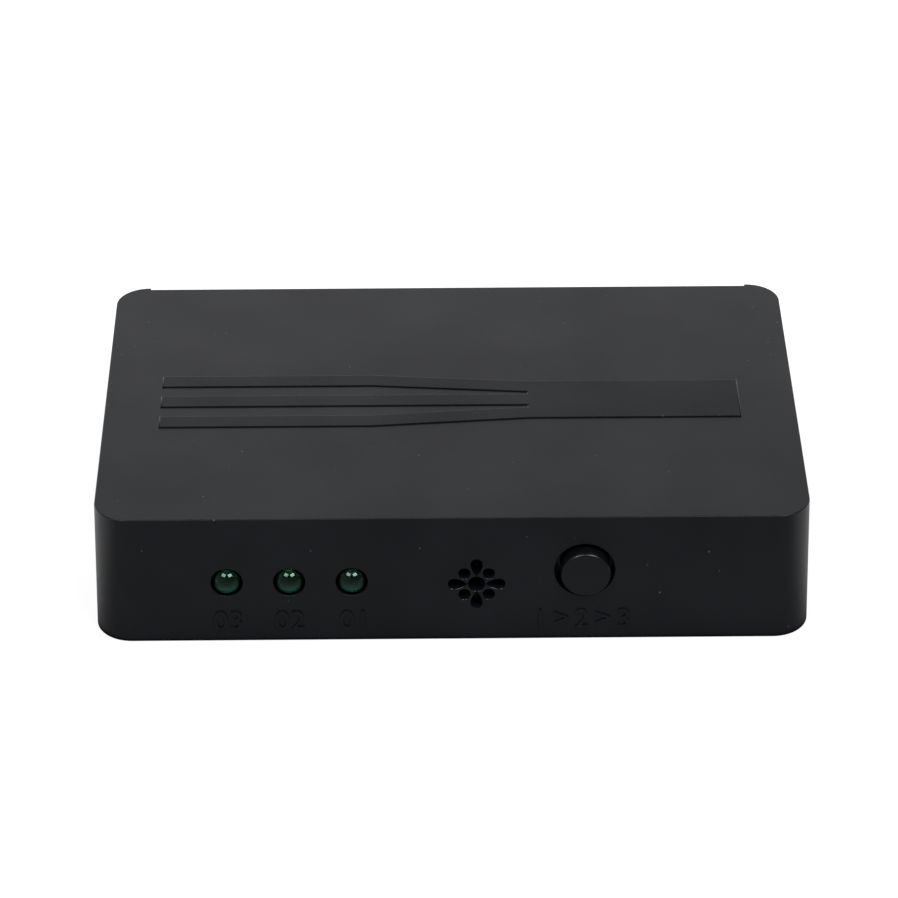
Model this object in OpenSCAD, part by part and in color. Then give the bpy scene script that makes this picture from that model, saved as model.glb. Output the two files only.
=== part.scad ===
// Three-input video switch box: a drafted cover screwed to a bottom cover, with a
// circuit board inside that carries four sockets, three indicator lamps, an infrared
// receiver, a select button and a power jack.
// The origin is the middle of the bottom face. The front faces -Y.

/* [Case] */
// Width of the case at its foot
base_w = 72; // [60:0.5:90]
// Depth of the case at its foot
base_d = 47; // [42:0.5:60]
// Height of the case up to the roof
case_h = 14.4; // [13.6:0.1:20]
// Draft of the walls, in degrees
draft = 1.1; // [0.5:0.1:2]
// Radius of the upright corners at the foot
corner_r = 3.7; // [3.2:0.1:5]
// Radius of the edge round the roof
edge_r = 0.2; // [0.1:0.05:0.6]
// Thickness of the walls
wall = 1.8; // [1.5:0.1:2.2]
// Thickness of the roof
roof_t = 1.6; // [1.2:0.1:2]
// Depth of the step in the rear wall that the sockets stand in
panel_depth = 0.3; // [0.2:0.1:0.6]
// Margin of that step beyond the outer socket windows
panel_margin = 0.3; // [0.1:0.1:0.4]

/* [Raised figure on the roof] */
// Height of the figure above the roof
relief_h = 0.1; // [0.05:0.05:0.3]
// Distance of the figure's ends from the sides of the case
relief_margin = 6; // [5:0.5:10]
// Place of the figure's middle along the depth
relief_y = -0.7; // [-3:0.1:3]
// Width of each of its three lanes
lane_w = 2.2; // [1.5:0.1:2.5]
// Distance from lane to lane on the left
lane_pitch = 4; // [3.5:0.1:5]
// Distance from lane to lane where they merge into one bar
merge_pitch = 2.6; // [2.6:0.1:3]
// Length of the slopes that bring the lanes together
merge_l = 16; // [10:1:20]

/* [Bottom cover] */
// Thickness of the bottom cover
plate_t = 1.6; // [1.4:0.1:2]
// Width of the lap in the foot of the walls that the bottom cover sits in
lap = 0.9; // [0.6:0.1:1.2]
// Gap round the bottom cover
plate_gap = 0.12; // [0.05:0.01:0.2]
// Height of the posts that carry the board
post_h = 1.2; // [1:0.1:1.6]
// Radius of the posts
post_r = 2.5; // [2:0.1:3]
// Height of the collars that meet the cover's screw bosses
collar_h = 1; // [0.8:0.1:1.2]

/* [Screws] */
// Radius of the self-tapping screws
screw_r = 1; // [0.9:0.05:1.2]
// Radius of the screw heads
head_r = 1.9; // [1.7:0.1:2.2]
// Height of the screw heads
head_h = 1.2; // [1:0.1:1.3]
// Length of the case screws under the head
case_screw_l = 7; // [5:0.5:9]
// Length of the board screws under the head
board_screw_l = 3.6; // [3:0.1:4]
// Gap between a screw and the hole that it bites in
thread_gap = 0.03; // [0.02:0.01:0.05]
// Gap between a screw and the hole that it passes through
pass_gap = 0.15; // [0.1:0.01:0.25]
// Depth of the case screw heads below the bottom face
head_sink = 0.2; // [0.1:0.05:0.3]
// Radius of the cover's screw bosses
boss_r = 3; // [2.7:0.1:3.2]
// Depth that the bosses run into the walls
boss_sink = 0.35; // [0.2:0.05:0.6]
// Gap between the rear bosses and the backs of the sockets
boss_gap = 2.3; // [1.5:0.1:3]
// Distance of the board screws from the bosses, along the width
board_screw_inset = 9; // [8:0.5:10]
// Distance of the board screws from the backs of the sockets
board_screw_setback = 8.8; // [8:0.1:9]

/* [Circuit board] */
// Thickness of the board
board_t = 1.6; // [1:0.2:2]
// Gap between the board and the walls
board_gap = 0.4; // [0.2:0.1:0.6]
// Gap between the board and the screw bosses
notch_gap = 0.4; // [0.2:0.1:0.6]
// Length of the leads below the board
lead_below = 0.6; // [0.4:0.1:0.8]
// Gap round leads in the board
lead_gap = 0.12; // [0.05:0.01:0.2]
// Thickness of the square leads
lead_t = 0.5; // [0.4:0.05:0.6]
// Distance between leads
lead_pitch = 2.54; // [2:0.01:2.6]

/* [Sockets] */
// Distance of the outer socket windows from the sides of the case
socket_margin = 4.1; // [4:0.1:5]
// Least distance from socket to socket: the row has as many sockets as the case has room for
socket_room = 16; // [15.6:0.1:18]
// Width of a socket's mouth
mouth_w = 14; // [13.8:0.1:14.2]
// Height of a socket's mouth
mouth_h = 4.55; // [4.4:0.05:4.7]
// Width of the slope at the mouth's lower corners
slope_w = 1.7; // [1.4:0.1:2]
// Height of the slope at the mouth's lower corners
slope_h = 1.9; // [1.6:0.1:2.2]
// Radius of the mouth's upper corners
mouth_r = 0.4; // [0.2:0.1:0.6]
// Sheet thickness of the socket shells
sheet = 0.3; // [0.2:0.05:0.4]
// Depth of the socket shells
socket_l = 11.5; // [11:0.1:12]
// Turned-out lip round the mouth
lip = 0.2; // [0.1:0.05:0.25]
// Depth of the lip
lip_t = 0.4; // [0.3:0.05:0.6]
// How far the lips stand proud of the rear step
socket_proud = 0.2; // [0.1:0.05:0.3]
// Gap between the lips and the windows in the rear wall
window_gap = 0.1; // [0.08:0.01:0.15]
// Width of the tongue
tongue_w = 10.9; // [10.6:0.1:11.2]
// Thickness of the tongue
tongue_t = 1.9; // [1.7:0.1:2]
// Gap above the tongue
tongue_drop = 1.2; // [1.1:0.05:1.3]
// Depth of the tongue's tip behind the mouth
tongue_setback = 1; // [0.7:0.1:1.3]
// Depth of the insulator's block at the back of the shell
block_l = 4; // [3.5:0.1:4.5]
// Gap behind the block for the contacts' tails
tail_gap = 0.2; // [0.18:0.01:0.3]
// Contacts above the tongue, with one less below it
contacts_n = 10; // [8:1:10]
// Distance from contact to contact in a row
contact_pitch = 1; // [0.95:0.01:1.02]
// Width of a contact
contact_w = 0.35; // [0.3:0.01:0.4]
// Thickness of a contact
contact_t = 0.15; // [0.1:0.01:0.16]
// Length of the contacts' feet on the board
foot_l = 0.9; // [0.7:0.1:1.1]
// Width of the shells' legs
leg_w = 1.2; // [1:0.1:1.5]
// Depth of the front legs behind the mouth
leg_setback = 4; // [3.8:0.1:4.5]
// Distance from the front legs to the rear legs
leg_span = 5; // [4.5:0.1:5.5]
// Width of the shells' spring tongues
spring_w = 1.6; // [1.4:0.1:2]
// Length of the shells' spring tongues
spring_l = 4.5; // [4:0.1:5]
// Width of the slit round a spring tongue
slit = 0.3; // [0.2:0.05:0.4]
// Place of the spring tongues, either side of a socket's middle
spring_x = 3.2; // [2.8:0.1:3.6]

/* [Indicator lamps] */
// Distance of the first lamp from the left side of the case
lamp_side = 13.4; // [12:0.05:14]
// Distance from lamp to lamp
lamp_pitch = 6.25; // [5.5:0.05:6.5]
// Height of the lamps
lamp_z = 7; // [6.6:0.1:8]
// Radius of a lamp's lens
lamp_r = 1.5; // [1.4:0.05:1.6]
// Gap round a lens in the front wall
lamp_gap = 0.1; // [0.05:0.01:0.2]
// Length of a lens up to its dome
lamp_l = 3.7; // [3.4:0.1:4]
// Radius of a lens's flange
lamp_flange_r = 1.9; // [1.8:0.05:2]
// Thickness of a lens's flange
lamp_flange_t = 1; // [0.8:0.1:1.2]
// Depth of the dome's centre behind the front face
lamp_setback = 0.8; // [0.4:0.1:1]
// Length of the leads behind a lens before they turn down
lead_reach = 1.2; // [1:0.1:1.6]

/* [Infrared receiver] */
// Distance of the vent and the receiver from the right side of the case
eye_side = 33.6; // [33:0.1:35]
// Height of the vent's middle
eye_z = 6.63; // [6.2:0.01:7.5]
// Radius of the vent's middle hole
vent_r = 0.84; // [0.7:0.02:0.9]
// Radius of the vent's four small holes
pip_r = 0.6; // [0.5:0.02:0.64]
// Distance of the small holes from the vent's middle
pip_reach = 1.725; // [1.7:0.005:1.8]
// Half of a petal's width, the radius of its round end
petal_r = 0.58; // [0.5:0.01:0.65]
// Distance of a petal's point from the vent's middle
petal_start = 0.95; // [0.9:0.01:1]
// Distance of a petal's outer end from the vent's middle
petal_end = 2.87; // [2.7:0.01:3]
// Width of the receiver's body
eye_w = 6; // [5.6:0.1:6.4]
// Height of the receiver's body
eye_h = 6.2; // [5.8:0.1:6.6]
// Depth of the receiver's body
eye_d = 3; // [2.8:0.1:3.4]
// Radius of the receiver's domed lens
eye_dome_r = 2.2; // [2:0.1:2.4]
// How far the domed lens stands out of the body
eye_dome_out = 1.3; // [1:0.1:1.6]
// Gap between the domed lens and the front wall
eye_gap = 0.6; // [0.4:0.1:0.8]
// Height of the receiver's body above the board
eye_lift = 0.3; // [0.2:0.1:0.5]

/* [Select button] */
// Distance of the button from the right side of the case
button_side = 22.8; // [22:0.1:23.5]
// Height of the button
button_z = 8.2; // [7.9:0.1:8.8]
// Radius of the button
button_r = 2.5; // [2.3:0.05:2.8]
// Gap round the button in the front wall
button_gap = 0.5; // [0.3:0.05:0.6]
// How far the button stands out of the front face
button_proud = 1; // [0.8:0.1:1.6]
// Radius of the button's front edge
button_edge = 0.25; // [0.1:0.05:0.4]
// Radius of the flange that keeps the button in
button_flange_r = 3.5; // [3.4:0.1:3.8]
// Thickness of that flange
button_flange_t = 0.8; // [0.6:0.1:1]
// Gap between the flange and the front wall
button_play = 0.2; // [0.1:0.05:0.3]
// Travel of the button
button_travel = 0.3; // [0.2:0.05:0.35]
// Gap left between the flange and the switch when pressed
button_spare = 0.5; // [0.3:0.1:0.7]
// Depth of the socket in the button's back
button_socket_l = 2; // [1.5:0.1:2.4]

/* [Tact switch] */
// Width and height of the switch
switch_w = 6; // [5.8:0.1:6.2]
// Depth of the switch's base
switch_d = 3.2; // [3:0.1:3.6]
// Radius of the plunger
plunger_r = 1.6; // [1.5:0.05:1.75]
// Radius of the plunger's flange
plunger_flange_r = 2.1; // [2:0.05:2.2]
// Thickness of the plunger's flange
plunger_flange_t = 0.5; // [0.4:0.05:0.6]
// Gap between the plunger and the pieces that guide it
plunger_gap = 0.12; // [0.08:0.01:0.15]
// Gap between the plunger and the button's socket
press_gap = 0.02; // [0.01:0.01:0.03]
// Radius of the snap dome
dome_r = 2.2; // [2.1:0.05:2.3]
// Height of the snap dome
dome_h = 0.4; // [0.38:0.01:0.45]
// Thickness of the snap dome
dome_t = 0.08; // [0.06:0.01:0.1]
// Distance of the switch's terminals from its middle
terminal_x = 2.25; // [2:0.05:2.4]
// Width of the terminals
terminal_w = 0.7; // [0.5:0.05:0.8]

/* [Power jack] */
// Place of the jack along the depth
jack_y = -3.5; // [-5:0.1:-2.5]
// Width of the jack's body
jack_w = 6.4; // [6.2:0.1:7]
// Height of the jack's body
jack_h = 5.8; // [5.7:0.1:6.2]
// Length of the jack
jack_l = 10; // [9.5:0.1:11]
// Radius of the round nose in the right wall
jack_nose_r = 2.7; // [2.6:0.05:2.8]
// Gap round the nose
jack_gap = 0.15; // [0.1:0.01:0.2]
// Width of the shoulders beside the nose on the bottom cover
jack_shoulder = 0.8; // [0.6:0.1:1]
// Radius of the jack's bore
jack_bore_r = 1.9; // [1.8:0.05:2]
// Depth of the jack's bore
jack_bore_l = 8; // [7.5:0.1:8.4]
// Radius of the centre pin
jack_pin_r = 0.65; // [0.55:0.05:0.7]
// Depth of the centre pin's tip behind the nose
jack_pin_setback = 0.8; // [0.5:0.1:1.2]
// Bevel of the centre pin's tip
jack_pin_bevel = 0.2; // [0.1:0.05:0.3]
// Radius of the centre pin's tail in the back of the housing
jack_tail_r = 0.45; // [0.35:0.05:0.5]
// Width of the jack's terminals and spring
jack_strip_w = 1.4; // [1.2:0.1:1.6]
// Length of the jack's spring
jack_spring_l = 4.5; // [4:0.1:5]

/* [Chips] */
// Gap between the contacts' feet and the row of small parts behind the sockets
row_gap = 1.1; // [1:0.1:1.5]
// Place of the video switch chip along the width
chip_x = -6; // [-7:0.5:-5]
// Gap between the video switch chip's leads and the row of small parts
chip_gap = 1.1; // [0.8:0.1:1.5]
// Width of the video switch chip
chip_w = 10; // [9:0.5:11]
// Height of the video switch chip
chip_h = 1.2; // [1:0.1:1.4]
// Leads on each side of the video switch chip
chip_leads_n = 16; // [12:1:18]
// Distance between the chip's leads
chip_pitch = 0.5; // [0.4:0.05:0.5]
// Place of the controller chip along the width
controller_x = 12.5; // [11:0.5:14]
// Place of the controller chip along the depth
controller_y = -9; // [-9.5:0.5:-8]
// Length of the controller chip
controller_l = 4.9; // [4.7:0.1:5.2]
// Width of the controller chip
controller_w = 3.9; // [3.7:0.1:4.1]
// Height of the controller chip
controller_h = 1.4; // [1.2:0.1:1.6]
// Distance between the controller's leads
controller_pitch = 1.27; // [1.2:0.01:1.3]
// Width of the controller's leads
controller_lead_w = 0.42; // [0.3:0.01:0.5]
// Distance of the regulator from the board screw beside it
regulator_reach = 10.5; // [10:0.5:11]
// Length of the regulator
regulator_l = 6.5; // [6.2:0.1:6.8]
// Width of the regulator
regulator_w = 3.5; // [3.3:0.1:3.7]
// Height of the regulator
regulator_h = 1.6; // [1.4:0.1:1.8]
// Distance between the regulator's leads
regulator_pitch = 2.3; // [2.2:0.05:2.4]
// Width of the regulator's leads
regulator_lead_w = 0.75; // [0.6:0.05:0.9]
// Width of the regulator's tab
regulator_tab_w = 3; // [2.8:0.1:3.2]
// Height of the chips' bodies above the board
chip_lift = 0.1; // [0.05:0.01:0.15]
// Thickness of the chips' leads
foil = 0.15; // [0.1:0.01:0.2]
// Reach of the chips' leads beyond their bodies
wing = 1; // [0.8:0.1:1.2]
// Distance of the crystal from the left side of the case
crystal_side = 16; // [15:0.5:17]
// Place of the crystal along the depth
crystal_y = -12.5; // [-13:0.5:-12]
// Length of the crystal's can
crystal_l = 11; // [10:0.5:12]
// Width of the crystal's can
crystal_w = 4.6; // [4:0.1:5]
// Height of the crystal's can
crystal_h = 3.4; // [3:0.1:3.6]
// Place of the front electrolytic can along the width
front_can_x = 21; // [20:0.5:22]
// Place of the front electrolytic can along the depth
front_can_y = -13; // [-13:0.5:-12]
// Place of the rear electrolytic can along the width
rear_can_x = -20; // [-21:0.5:-19]
// Distance of the rear electrolytic can from the board screw behind it
rear_can_reach = 7; // [6.5:0.5:7]
// Radius of the electrolytic cans
can_r = 2.5; // [2:0.1:3]
// Height of the electrolytic cans
can_h = 5.4; // [4:0.1:6]
// Thickness of the base under an electrolytic can
can_base_t = 0.6; // [0.4:0.1:0.8]
// Number of chip capacitors in the row before the video switch chip
capacitor_n = 5; // [3:1:6]
// Distance from one chip capacitor to the next
capacitor_pitch = 3.2; // [2.5:0.1:4]
// Gap between the chip capacitors and the video switch chip's leads
capacitor_gap = 2.4; // [1:0.1:3]
// Distance of the inner chip resistors from the middle of their diode
resistor_reach = 1.9; // [1.9:0.1:2.2]
// Distance from the inner to the outer chip resistors
resistor_pitch = 1.1; // [1:0.1:1.5]
// Length of the chip capacitors and resistors
tiny_l = 1.6; // [1.4:0.1:1.8]
// Width of the chip capacitors and resistors
tiny_w = 0.8; // [0.6:0.1:0.9]
// Height of the chip capacitors
capacitor_h = 0.8; // [0.5:0.1:0.9]
// Height of the chip resistors
resistor_h = 0.45; // [0.35:0.05:0.6]
// Length of the diodes
diode_l = 2.7; // [2.5:0.1:2.9]
// Width of the diodes
diode_w = 1.6; // [1.4:0.1:1.8]
// Height of the diodes
diode_h = 1; // [0.8:0.1:1.2]

/* [Hidden] */
$fn = 64;
// Overcut that lets a cutting shape clear the face that it cuts
over = 1;

half_w = base_w / 2;
half_d = base_d / 2;

// Heights, from the bottom face up
board_z = plate_t + post_h;
board_top = board_z + board_t;
lead_foot = board_z - lead_below;
collar_top = plate_t + collar_h;
roof_z = case_h - roof_t;

// Outer walls: how far they have leaned in at a height
function lean(z) = z * tan(draft);
function front_face(z) = -(half_d - lean(z));
function front_inside(z) = front_face(z) + wall;

// Sockets along the rear wall: one output and then the inputs, the last one first
mouth_z = board_top + sheet;
window_grow = sheet + lip + window_gap;
window_w = mouth_w + 2 * window_grow;
row_w = base_w - 2 * socket_margin;
input_n = floor((row_w - window_w) / socket_room);
socket_n = input_n + 1;
socket_pitch = (row_w - window_w) / input_n;
socket_names = concat(["out"], [for (i = [input_n:-1:1]) str("in_", i)]);
function socket_x(i) = (i - input_n / 2) * socket_pitch;
socket_face = half_d - panel_depth - lean(mouth_z + mouth_h) + socket_proud;
socket_back = socket_face - socket_l;
sill_top = mouth_z + slope_h - window_grow;
panel_w = row_w + 2 * panel_margin;
tongue_top = mouth_z + mouth_h - tongue_drop;
tongue_tip = socket_face - tongue_setback;
block_back = socket_back + sheet + tail_gap;

// Screw bosses in the front corners and beside the sockets
boss_x = half_w - wall - boss_r + boss_sink;
boss_y = half_d - wall - boss_r + boss_sink;
rear_boss_y = socket_back - boss_gap - boss_r;
boss_places = [[-boss_x, -boss_y], [boss_x, -boss_y], [-boss_x, rear_boss_y], [boss_x, rear_boss_y]];
board_screw_x = boss_x - board_screw_inset;
board_screw_y = socket_back - board_screw_setback;
board_screw_places = [[-board_screw_x, board_screw_y], [board_screw_x, board_screw_y]];
// Plain posts that carry the board where there is no screw
plain_post_places = [[-board_screw_x, -boss_y / 2], [board_screw_x, -boss_y / 2], [0, rear_boss_y]];

// Board edges inside the walls
board_inset = wall + lean(board_top) + board_gap;
board_x = half_w - board_inset;
board_y = half_d - board_inset;
board_r = corner_r - board_inset;

// One lamp for each input
lamp_n = input_n;
lamp_centre_y = front_face(lamp_z) + lamp_setback;
lamp_back = lamp_centre_y + lamp_l;
function lamp_place(i) = lamp_side - half_w + i * lamp_pitch;
lamp_lead_y = lamp_back + lead_reach - lead_t / 2;

eye_x = half_w - eye_side;
eye_front = front_inside(eye_z) + eye_gap + eye_dome_out;
eye_lead_y = eye_front + eye_d / 2;

// Button and switch, one behind the other from the front wall inwards
button_x = half_w - button_side;
flange_front = front_inside(button_z) + button_play;
flange_back = flange_front + button_flange_t;
button_l = flange_back - front_face(button_z) + button_proud;
switch_face = flange_back + button_travel + button_spare;
switch_base_front = switch_face + sheet;
switch_base_back = switch_base_front + switch_d;
plunger_front = flange_back - button_socket_l + press_gap;
plunger_shoulder = switch_base_front + plunger_gap;
plunger_back = plunger_shoulder + plunger_flange_t;
chamber_l = plunger_gap + plunger_flange_t + dome_h + press_gap;
dome_seat = switch_base_front + chamber_l;
switch_foot = button_z - switch_w / 2;
terminal_y = switch_base_back - lead_t;

jack_z = board_top + jack_h / 2;
jack_face = half_w - lean(board_top + jack_h);
jack_back = jack_face - jack_l;
jack_nose_l = lean(board_top + jack_h) + wall + board_gap;
jack_body_front = jack_face - jack_nose_l;
jack_hole_r = jack_nose_r + jack_gap;
jack_slot_w = 2 * (jack_hole_r + jack_shoulder);
jack_spring_top = jack_z - jack_bore_r;

// Row of diodes and resistors behind the sockets, and the parts before it
row_y = socket_back - foot_l - row_gap - diode_w / 2;
resistor_offsets = [for (side = [-1, 1], step = [0, resistor_pitch]) side * (resistor_reach + step)];
chip_place = [chip_x, row_y - diode_w / 2 - chip_gap - wing - chip_w / 2];
capacitor_y = chip_place[1] - chip_w / 2 - wing - capacitor_gap - tiny_l / 2;
controller_place = [controller_x, controller_y];
regulator_place = [board_screw_x - regulator_reach, board_screw_y];
crystal_place = [crystal_side - half_w, crystal_y];
can_places = [[front_can_x, front_can_y], [rear_can_x, board_screw_y - rear_can_reach]];

// Points of an arc about a centre, from one angle to another
function arc(centre, r, from, to, steps = 6) = [
  for (i = [0:steps])
    let (a = from + (to - from) * i / steps)
    centre + r * [cos(a), sin(a)]
];

// Extrude a drawing of the front view backwards, from one depth to another
module along_y(from, to) {
  translate([0, to, 0])
    rotate([90, 0, 0])
      linear_extrude(to - from)
        children();
}

// Extrude a drawing of the side view, depth across and height up, to both sides of the middle
module across_x(width) {
  rotate([90, 0, 90])
    linear_extrude(width, center = true)
      children();
}

module box(from, to) {
  translate(from)
    cube(to - from);
}

// Block with the case's lean and round corners, set in from the outer walls
module drafted_block(inset, bottom, top, round = 0) {
  centre_x = half_w - corner_r;
  centre_y = half_d - corner_r;
  reach = corner_r - inset;
  shoulder = top - round;
  rounding = round > 0
    ? arc([reach - lean(shoulder) - round, shoulder], round, 0, 90)
    : [[reach - lean(top), top]];
  profile = concat([[0, bottom], [reach - lean(bottom), bottom]], rounding, [[0, top]]);
  box([-centre_x, -centre_y, bottom], [centre_x, centre_y, top]);
  for (turn = [0, 180])
    rotate(turn) {
      translate([0, centre_y, 0])
        across_x(2 * centre_x)
          polygon(profile);
      translate([centre_x, 0, 0])
        rotate(-90)
          across_x(2 * centre_y)
            polygon(profile);
      for (side = [0, 1])
        mirror([side, 0, 0])
          translate([centre_x, centre_y, 0])
            rotate_extrude(angle = 90)
              polygon(profile);
    }
}

// Vent over the infrared receiver: a middle hole, four petals and four small holes between them
module vent_outline() {
  petal_l = petal_end - petal_r - petal_start;
  circle(vent_r);
  for (turn = [0:90:270]) {
    rotate(turn + 45)
      translate([pip_reach, 0])
        circle(pip_r);
    rotate(turn)
      translate([petal_end - petal_r, 0])
        polygon(concat(
          arc([0, 0], petal_r, -90, 90, 8),
          [for (t = [-5:5]) [petal_l * (abs(t) / 6 - 1), -sign(t) * petal_r * pow(sin(15 * abs(t)), 0.8)]]
        ));
  }
}

// Holes in the front wall for the lamps, the infrared receiver and the button
module front_openings() {
  along_y(-half_d - over, front_inside(case_h) + over) {
    for (i = [0:lamp_n - 1])
      translate([lamp_place(i), lamp_z])
        circle(lamp_r + lamp_gap);
    translate([button_x, button_z])
      circle(button_r + button_gap);
    translate([eye_x, eye_z])
      vent_outline();
  }
}

// Room for the sockets and their lips in the rear wall, as a drawing of the front view
module socket_windows() {
  for (i = [0:socket_n - 1])
    translate([socket_x(i), mouth_z])
      mouth_outline(window_grow);
}

// Step in the rear wall and windows that are open downwards, so that the cover drops over the sockets
module rear_openings() {
  wall_inside = half_d - wall - lean(case_h);
  difference() {
    box([-panel_w / 2, wall_inside, -over], [panel_w / 2, half_d + over, case_h + over]);
    box([-panel_w, 0, -over], [panel_w, half_d - panel_depth - lean(case_h) - edge_r, case_h + 2 * over]);
    drafted_block(panel_depth, -over, case_h, edge_r);
  }
  along_y(wall_inside - over, half_d + over) {
    socket_windows();
    translate([-row_w / 2, -over])
      square([row_w, sill_top + over]);
  }
}

// Slot for the jack's nose in the right wall, round above and square below
module jack_slot(width, hole_r) {
  translate([half_w - wall - lean(case_h) - over, jack_y, 0])
    rotate([90, 0, 90])
      linear_extrude(wall + lean(case_h) + 2 * over) {
        translate([-width / 2, -over])
          square([width, jack_z + over]);
        translate([0, jack_z])
          circle(hole_r);
      }
}

// Raised figure on the roof: three lanes that come together in one bar
module relief() {
  far = half_w - relief_margin;
  near = merge_l / 2;
  half_lane = lane_w / 2;
  half_bar = merge_pitch + half_lane;
  translate([0, relief_y, roof_z + roof_t / 2])
    linear_extrude(roof_t / 2 + relief_h) {
      for (lane = [-1:1])
        polygon([
          [-far, lane * lane_pitch - half_lane],
          [-near, lane * lane_pitch - half_lane],
          [near, lane * merge_pitch - half_lane],
          [near, lane * merge_pitch + half_lane],
          [-near, lane * lane_pitch + half_lane],
          [-far, lane * lane_pitch + half_lane]
        ]);
      translate([near, -half_bar])
        square([far - near, 2 * half_bar]);
    }
}

module top_cover() {
  color("#222326")
    difference() {
      union() {
        difference() {
          drafted_block(0, 0, case_h, edge_r);
          drafted_block(lap, -over, plate_t);
          drafted_block(wall, plate_t - over, roof_z);
        }
        for (place = boss_places)
          translate([place[0], place[1], collar_top])
            cylinder(r = boss_r, h = roof_z + roof_t / 2 - collar_top);
        relief();
      }
      for (place = boss_places)
        translate([place[0], place[1], collar_top - over])
          cylinder(r = screw_r + thread_gap, h = head_sink + head_h + case_screw_l + 2 * over - collar_top);
      front_openings();
      rear_openings();
      jack_slot(jack_slot_w, jack_hole_r);
    }
}

// Part of the bottom cover that closes the rear wall below the sockets and between their sloped corners
module rear_sill() {
  sill_w = row_w - 2 * plate_gap;
  intersection() {
    drafted_block(panel_depth, 0, sill_top);
    along_y(half_d - wall - lean(sill_top), half_d)
      difference() {
        translate([-sill_w / 2, 0])
          square([sill_w, sill_top - plate_gap]);
        socket_windows();
      }
  }
}

// Part of the bottom cover that closes the right wall below the jack's nose
module jack_sill() {
  shoulder_w = jack_slot_w - 2 * plate_gap;
  intersection() {
    drafted_block(0, 0, jack_z);
    box(
      [half_w - wall - lean(jack_z), jack_y - shoulder_w / 2, 0],
      [half_w, jack_y + shoulder_w / 2, jack_z - plate_gap]
    );
  }
}

module bottom_cover() {
  color("#26272a")
    difference() {
      union() {
        drafted_block(lap + plate_gap, 0, plate_t);
        rear_sill();
        jack_sill();
        for (place = boss_places)
          translate([place[0], place[1], 0])
            cylinder(r = boss_r - boss_sink - plate_gap, h = collar_top);
        for (place = concat(board_screw_places, plain_post_places))
          translate([place[0], place[1], 0])
            cylinder(r = post_r, h = board_z);
      }
      for (place = boss_places)
        translate([place[0], place[1], 0]) {
          translate([0, 0, -over])
            cylinder(r = head_r + pass_gap, h = head_sink + head_h + over);
          cylinder(r = screw_r + pass_gap, h = collar_top + over);
        }
      for (place = board_screw_places)
        translate([place[0], place[1], board_top - board_screw_l - thread_gap])
          cylinder(r = screw_r + thread_gap, h = board_screw_l);
      translate([half_w - wall - over, jack_y, jack_z])
        rotate([0, 90, 0])
          cylinder(r = jack_hole_r, h = wall + 2 * over);
    }
}

// Self-tapping screw with a domed head, pointing up from the underside of its head
module screw(length) {
  crown = head_h / 3;
  rotate_extrude()
    polygon([
      [0, -head_h],
      [head_r - crown, -head_h],
      [head_r, crown - head_h],
      [head_r, 0],
      [screw_r, 0],
      [screw_r, length - screw_r],
      [screw_r / 2, length],
      [0, length]
    ]);
}

module case_screws() {
  color("#5c5c60")
    for (place = boss_places)
      translate([place[0], place[1], head_sink + head_h])
        screw(case_screw_l);
}

module board_screws() {
  color("#b8b8b4")
    for (place = board_screw_places)
      translate([place[0], place[1], board_top])
        mirror([0, 0, 1])
          screw(board_screw_l);
}

// Room in the board for a screw boss, open to the edges beside the boss
module boss_notch(place) {
  notch_r = boss_r + notch_gap;
  side = sign(place[0]);
  translate(place) {
    circle(notch_r);
    translate([side * base_w / 2, 0])
      square([base_w, 2 * notch_r], center = true);
    if (place[1] < 0)
      translate([side * (base_w - notch_r) / 2, -base_d / 2])
        square([base_w + notch_r, base_d], center = true);
  }
}

// Square holes in the board for a row of leads
module lead_holes(places, width, depth) {
  for (place = places)
    translate(place)
      square([width, depth] + 2 * lead_gap * [1, 1], center = true);
}

function lamp_lead_places(i) = [
  for (side = [-1, 1])
    [lamp_place(i) + side * lead_pitch / 2, lamp_lead_y]
];
eye_lead_places = [for (i = [-1:1]) [eye_x + i * lead_pitch, eye_lead_y]];
terminal_places = [for (side = [-1, 1]) [button_x + side * terminal_x, terminal_y]];
frame_leg_places = [
  for (side = [-1, 1])
    [button_x + side * (switch_w + sheet) / 2, switch_base_front + switch_d / 2]
];
jack_lead_places = [[jack_back - sheet / 2, jack_y], [jack_face - jack_bore_l, jack_y]];
function shell_leg_places(i) = [
  for (side = [-1, 1], step = [0, leg_span])
    [socket_x(i) + side * (mouth_w + sheet) / 2, socket_face - leg_setback - step]
];

// Board with round corners that follow the case's
module board_outline() {
  square([2 * board_x, 2 * (board_y - board_r)], center = true);
  square([2 * (board_x - board_r), 2 * board_y], center = true);
  for (side = [-1, 1], end = [-1, 1])
    translate([side * (board_x - board_r), end * (board_y - board_r)])
      circle(board_r);
}

module circuit_board() {
  color("#1f5a34")
    translate([0, 0, board_z])
      linear_extrude(board_t)
        difference() {
          board_outline();
          for (place = boss_places)
            boss_notch(place);
          for (place = board_screw_places)
            translate(place)
              circle(screw_r + pass_gap);
          for (i = [0:socket_n - 1])
            lead_holes(shell_leg_places(i), sheet, leg_w);
          for (i = [0:lamp_n - 1])
            lead_holes(lamp_lead_places(i), lead_t, lead_t);
          lead_holes(eye_lead_places, lead_t, lead_t);
          lead_holes(terminal_places, terminal_w, sheet);
          lead_holes(frame_leg_places, sheet, leg_w);
          lead_holes(jack_lead_places, sheet, jack_strip_w);
        }
}

// Outline of a socket's mouth, wide above and sloped in below, grown outwards
module mouth_outline(grow = 0) {
  side = mouth_w / 2 + grow;
  foot = side - slope_w;
  low = -grow;
  high = mouth_h + grow;
  r = mouth_r + grow;
  polygon(concat(
    [[-foot, low], [foot, low], [side, low + slope_h]],
    arc([side - r, high - r], r, 0, 90, 4),
    arc([r - side, high - r], r, 90, 180, 4),
    [[-side, low + slope_h]]
  ));
}

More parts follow.
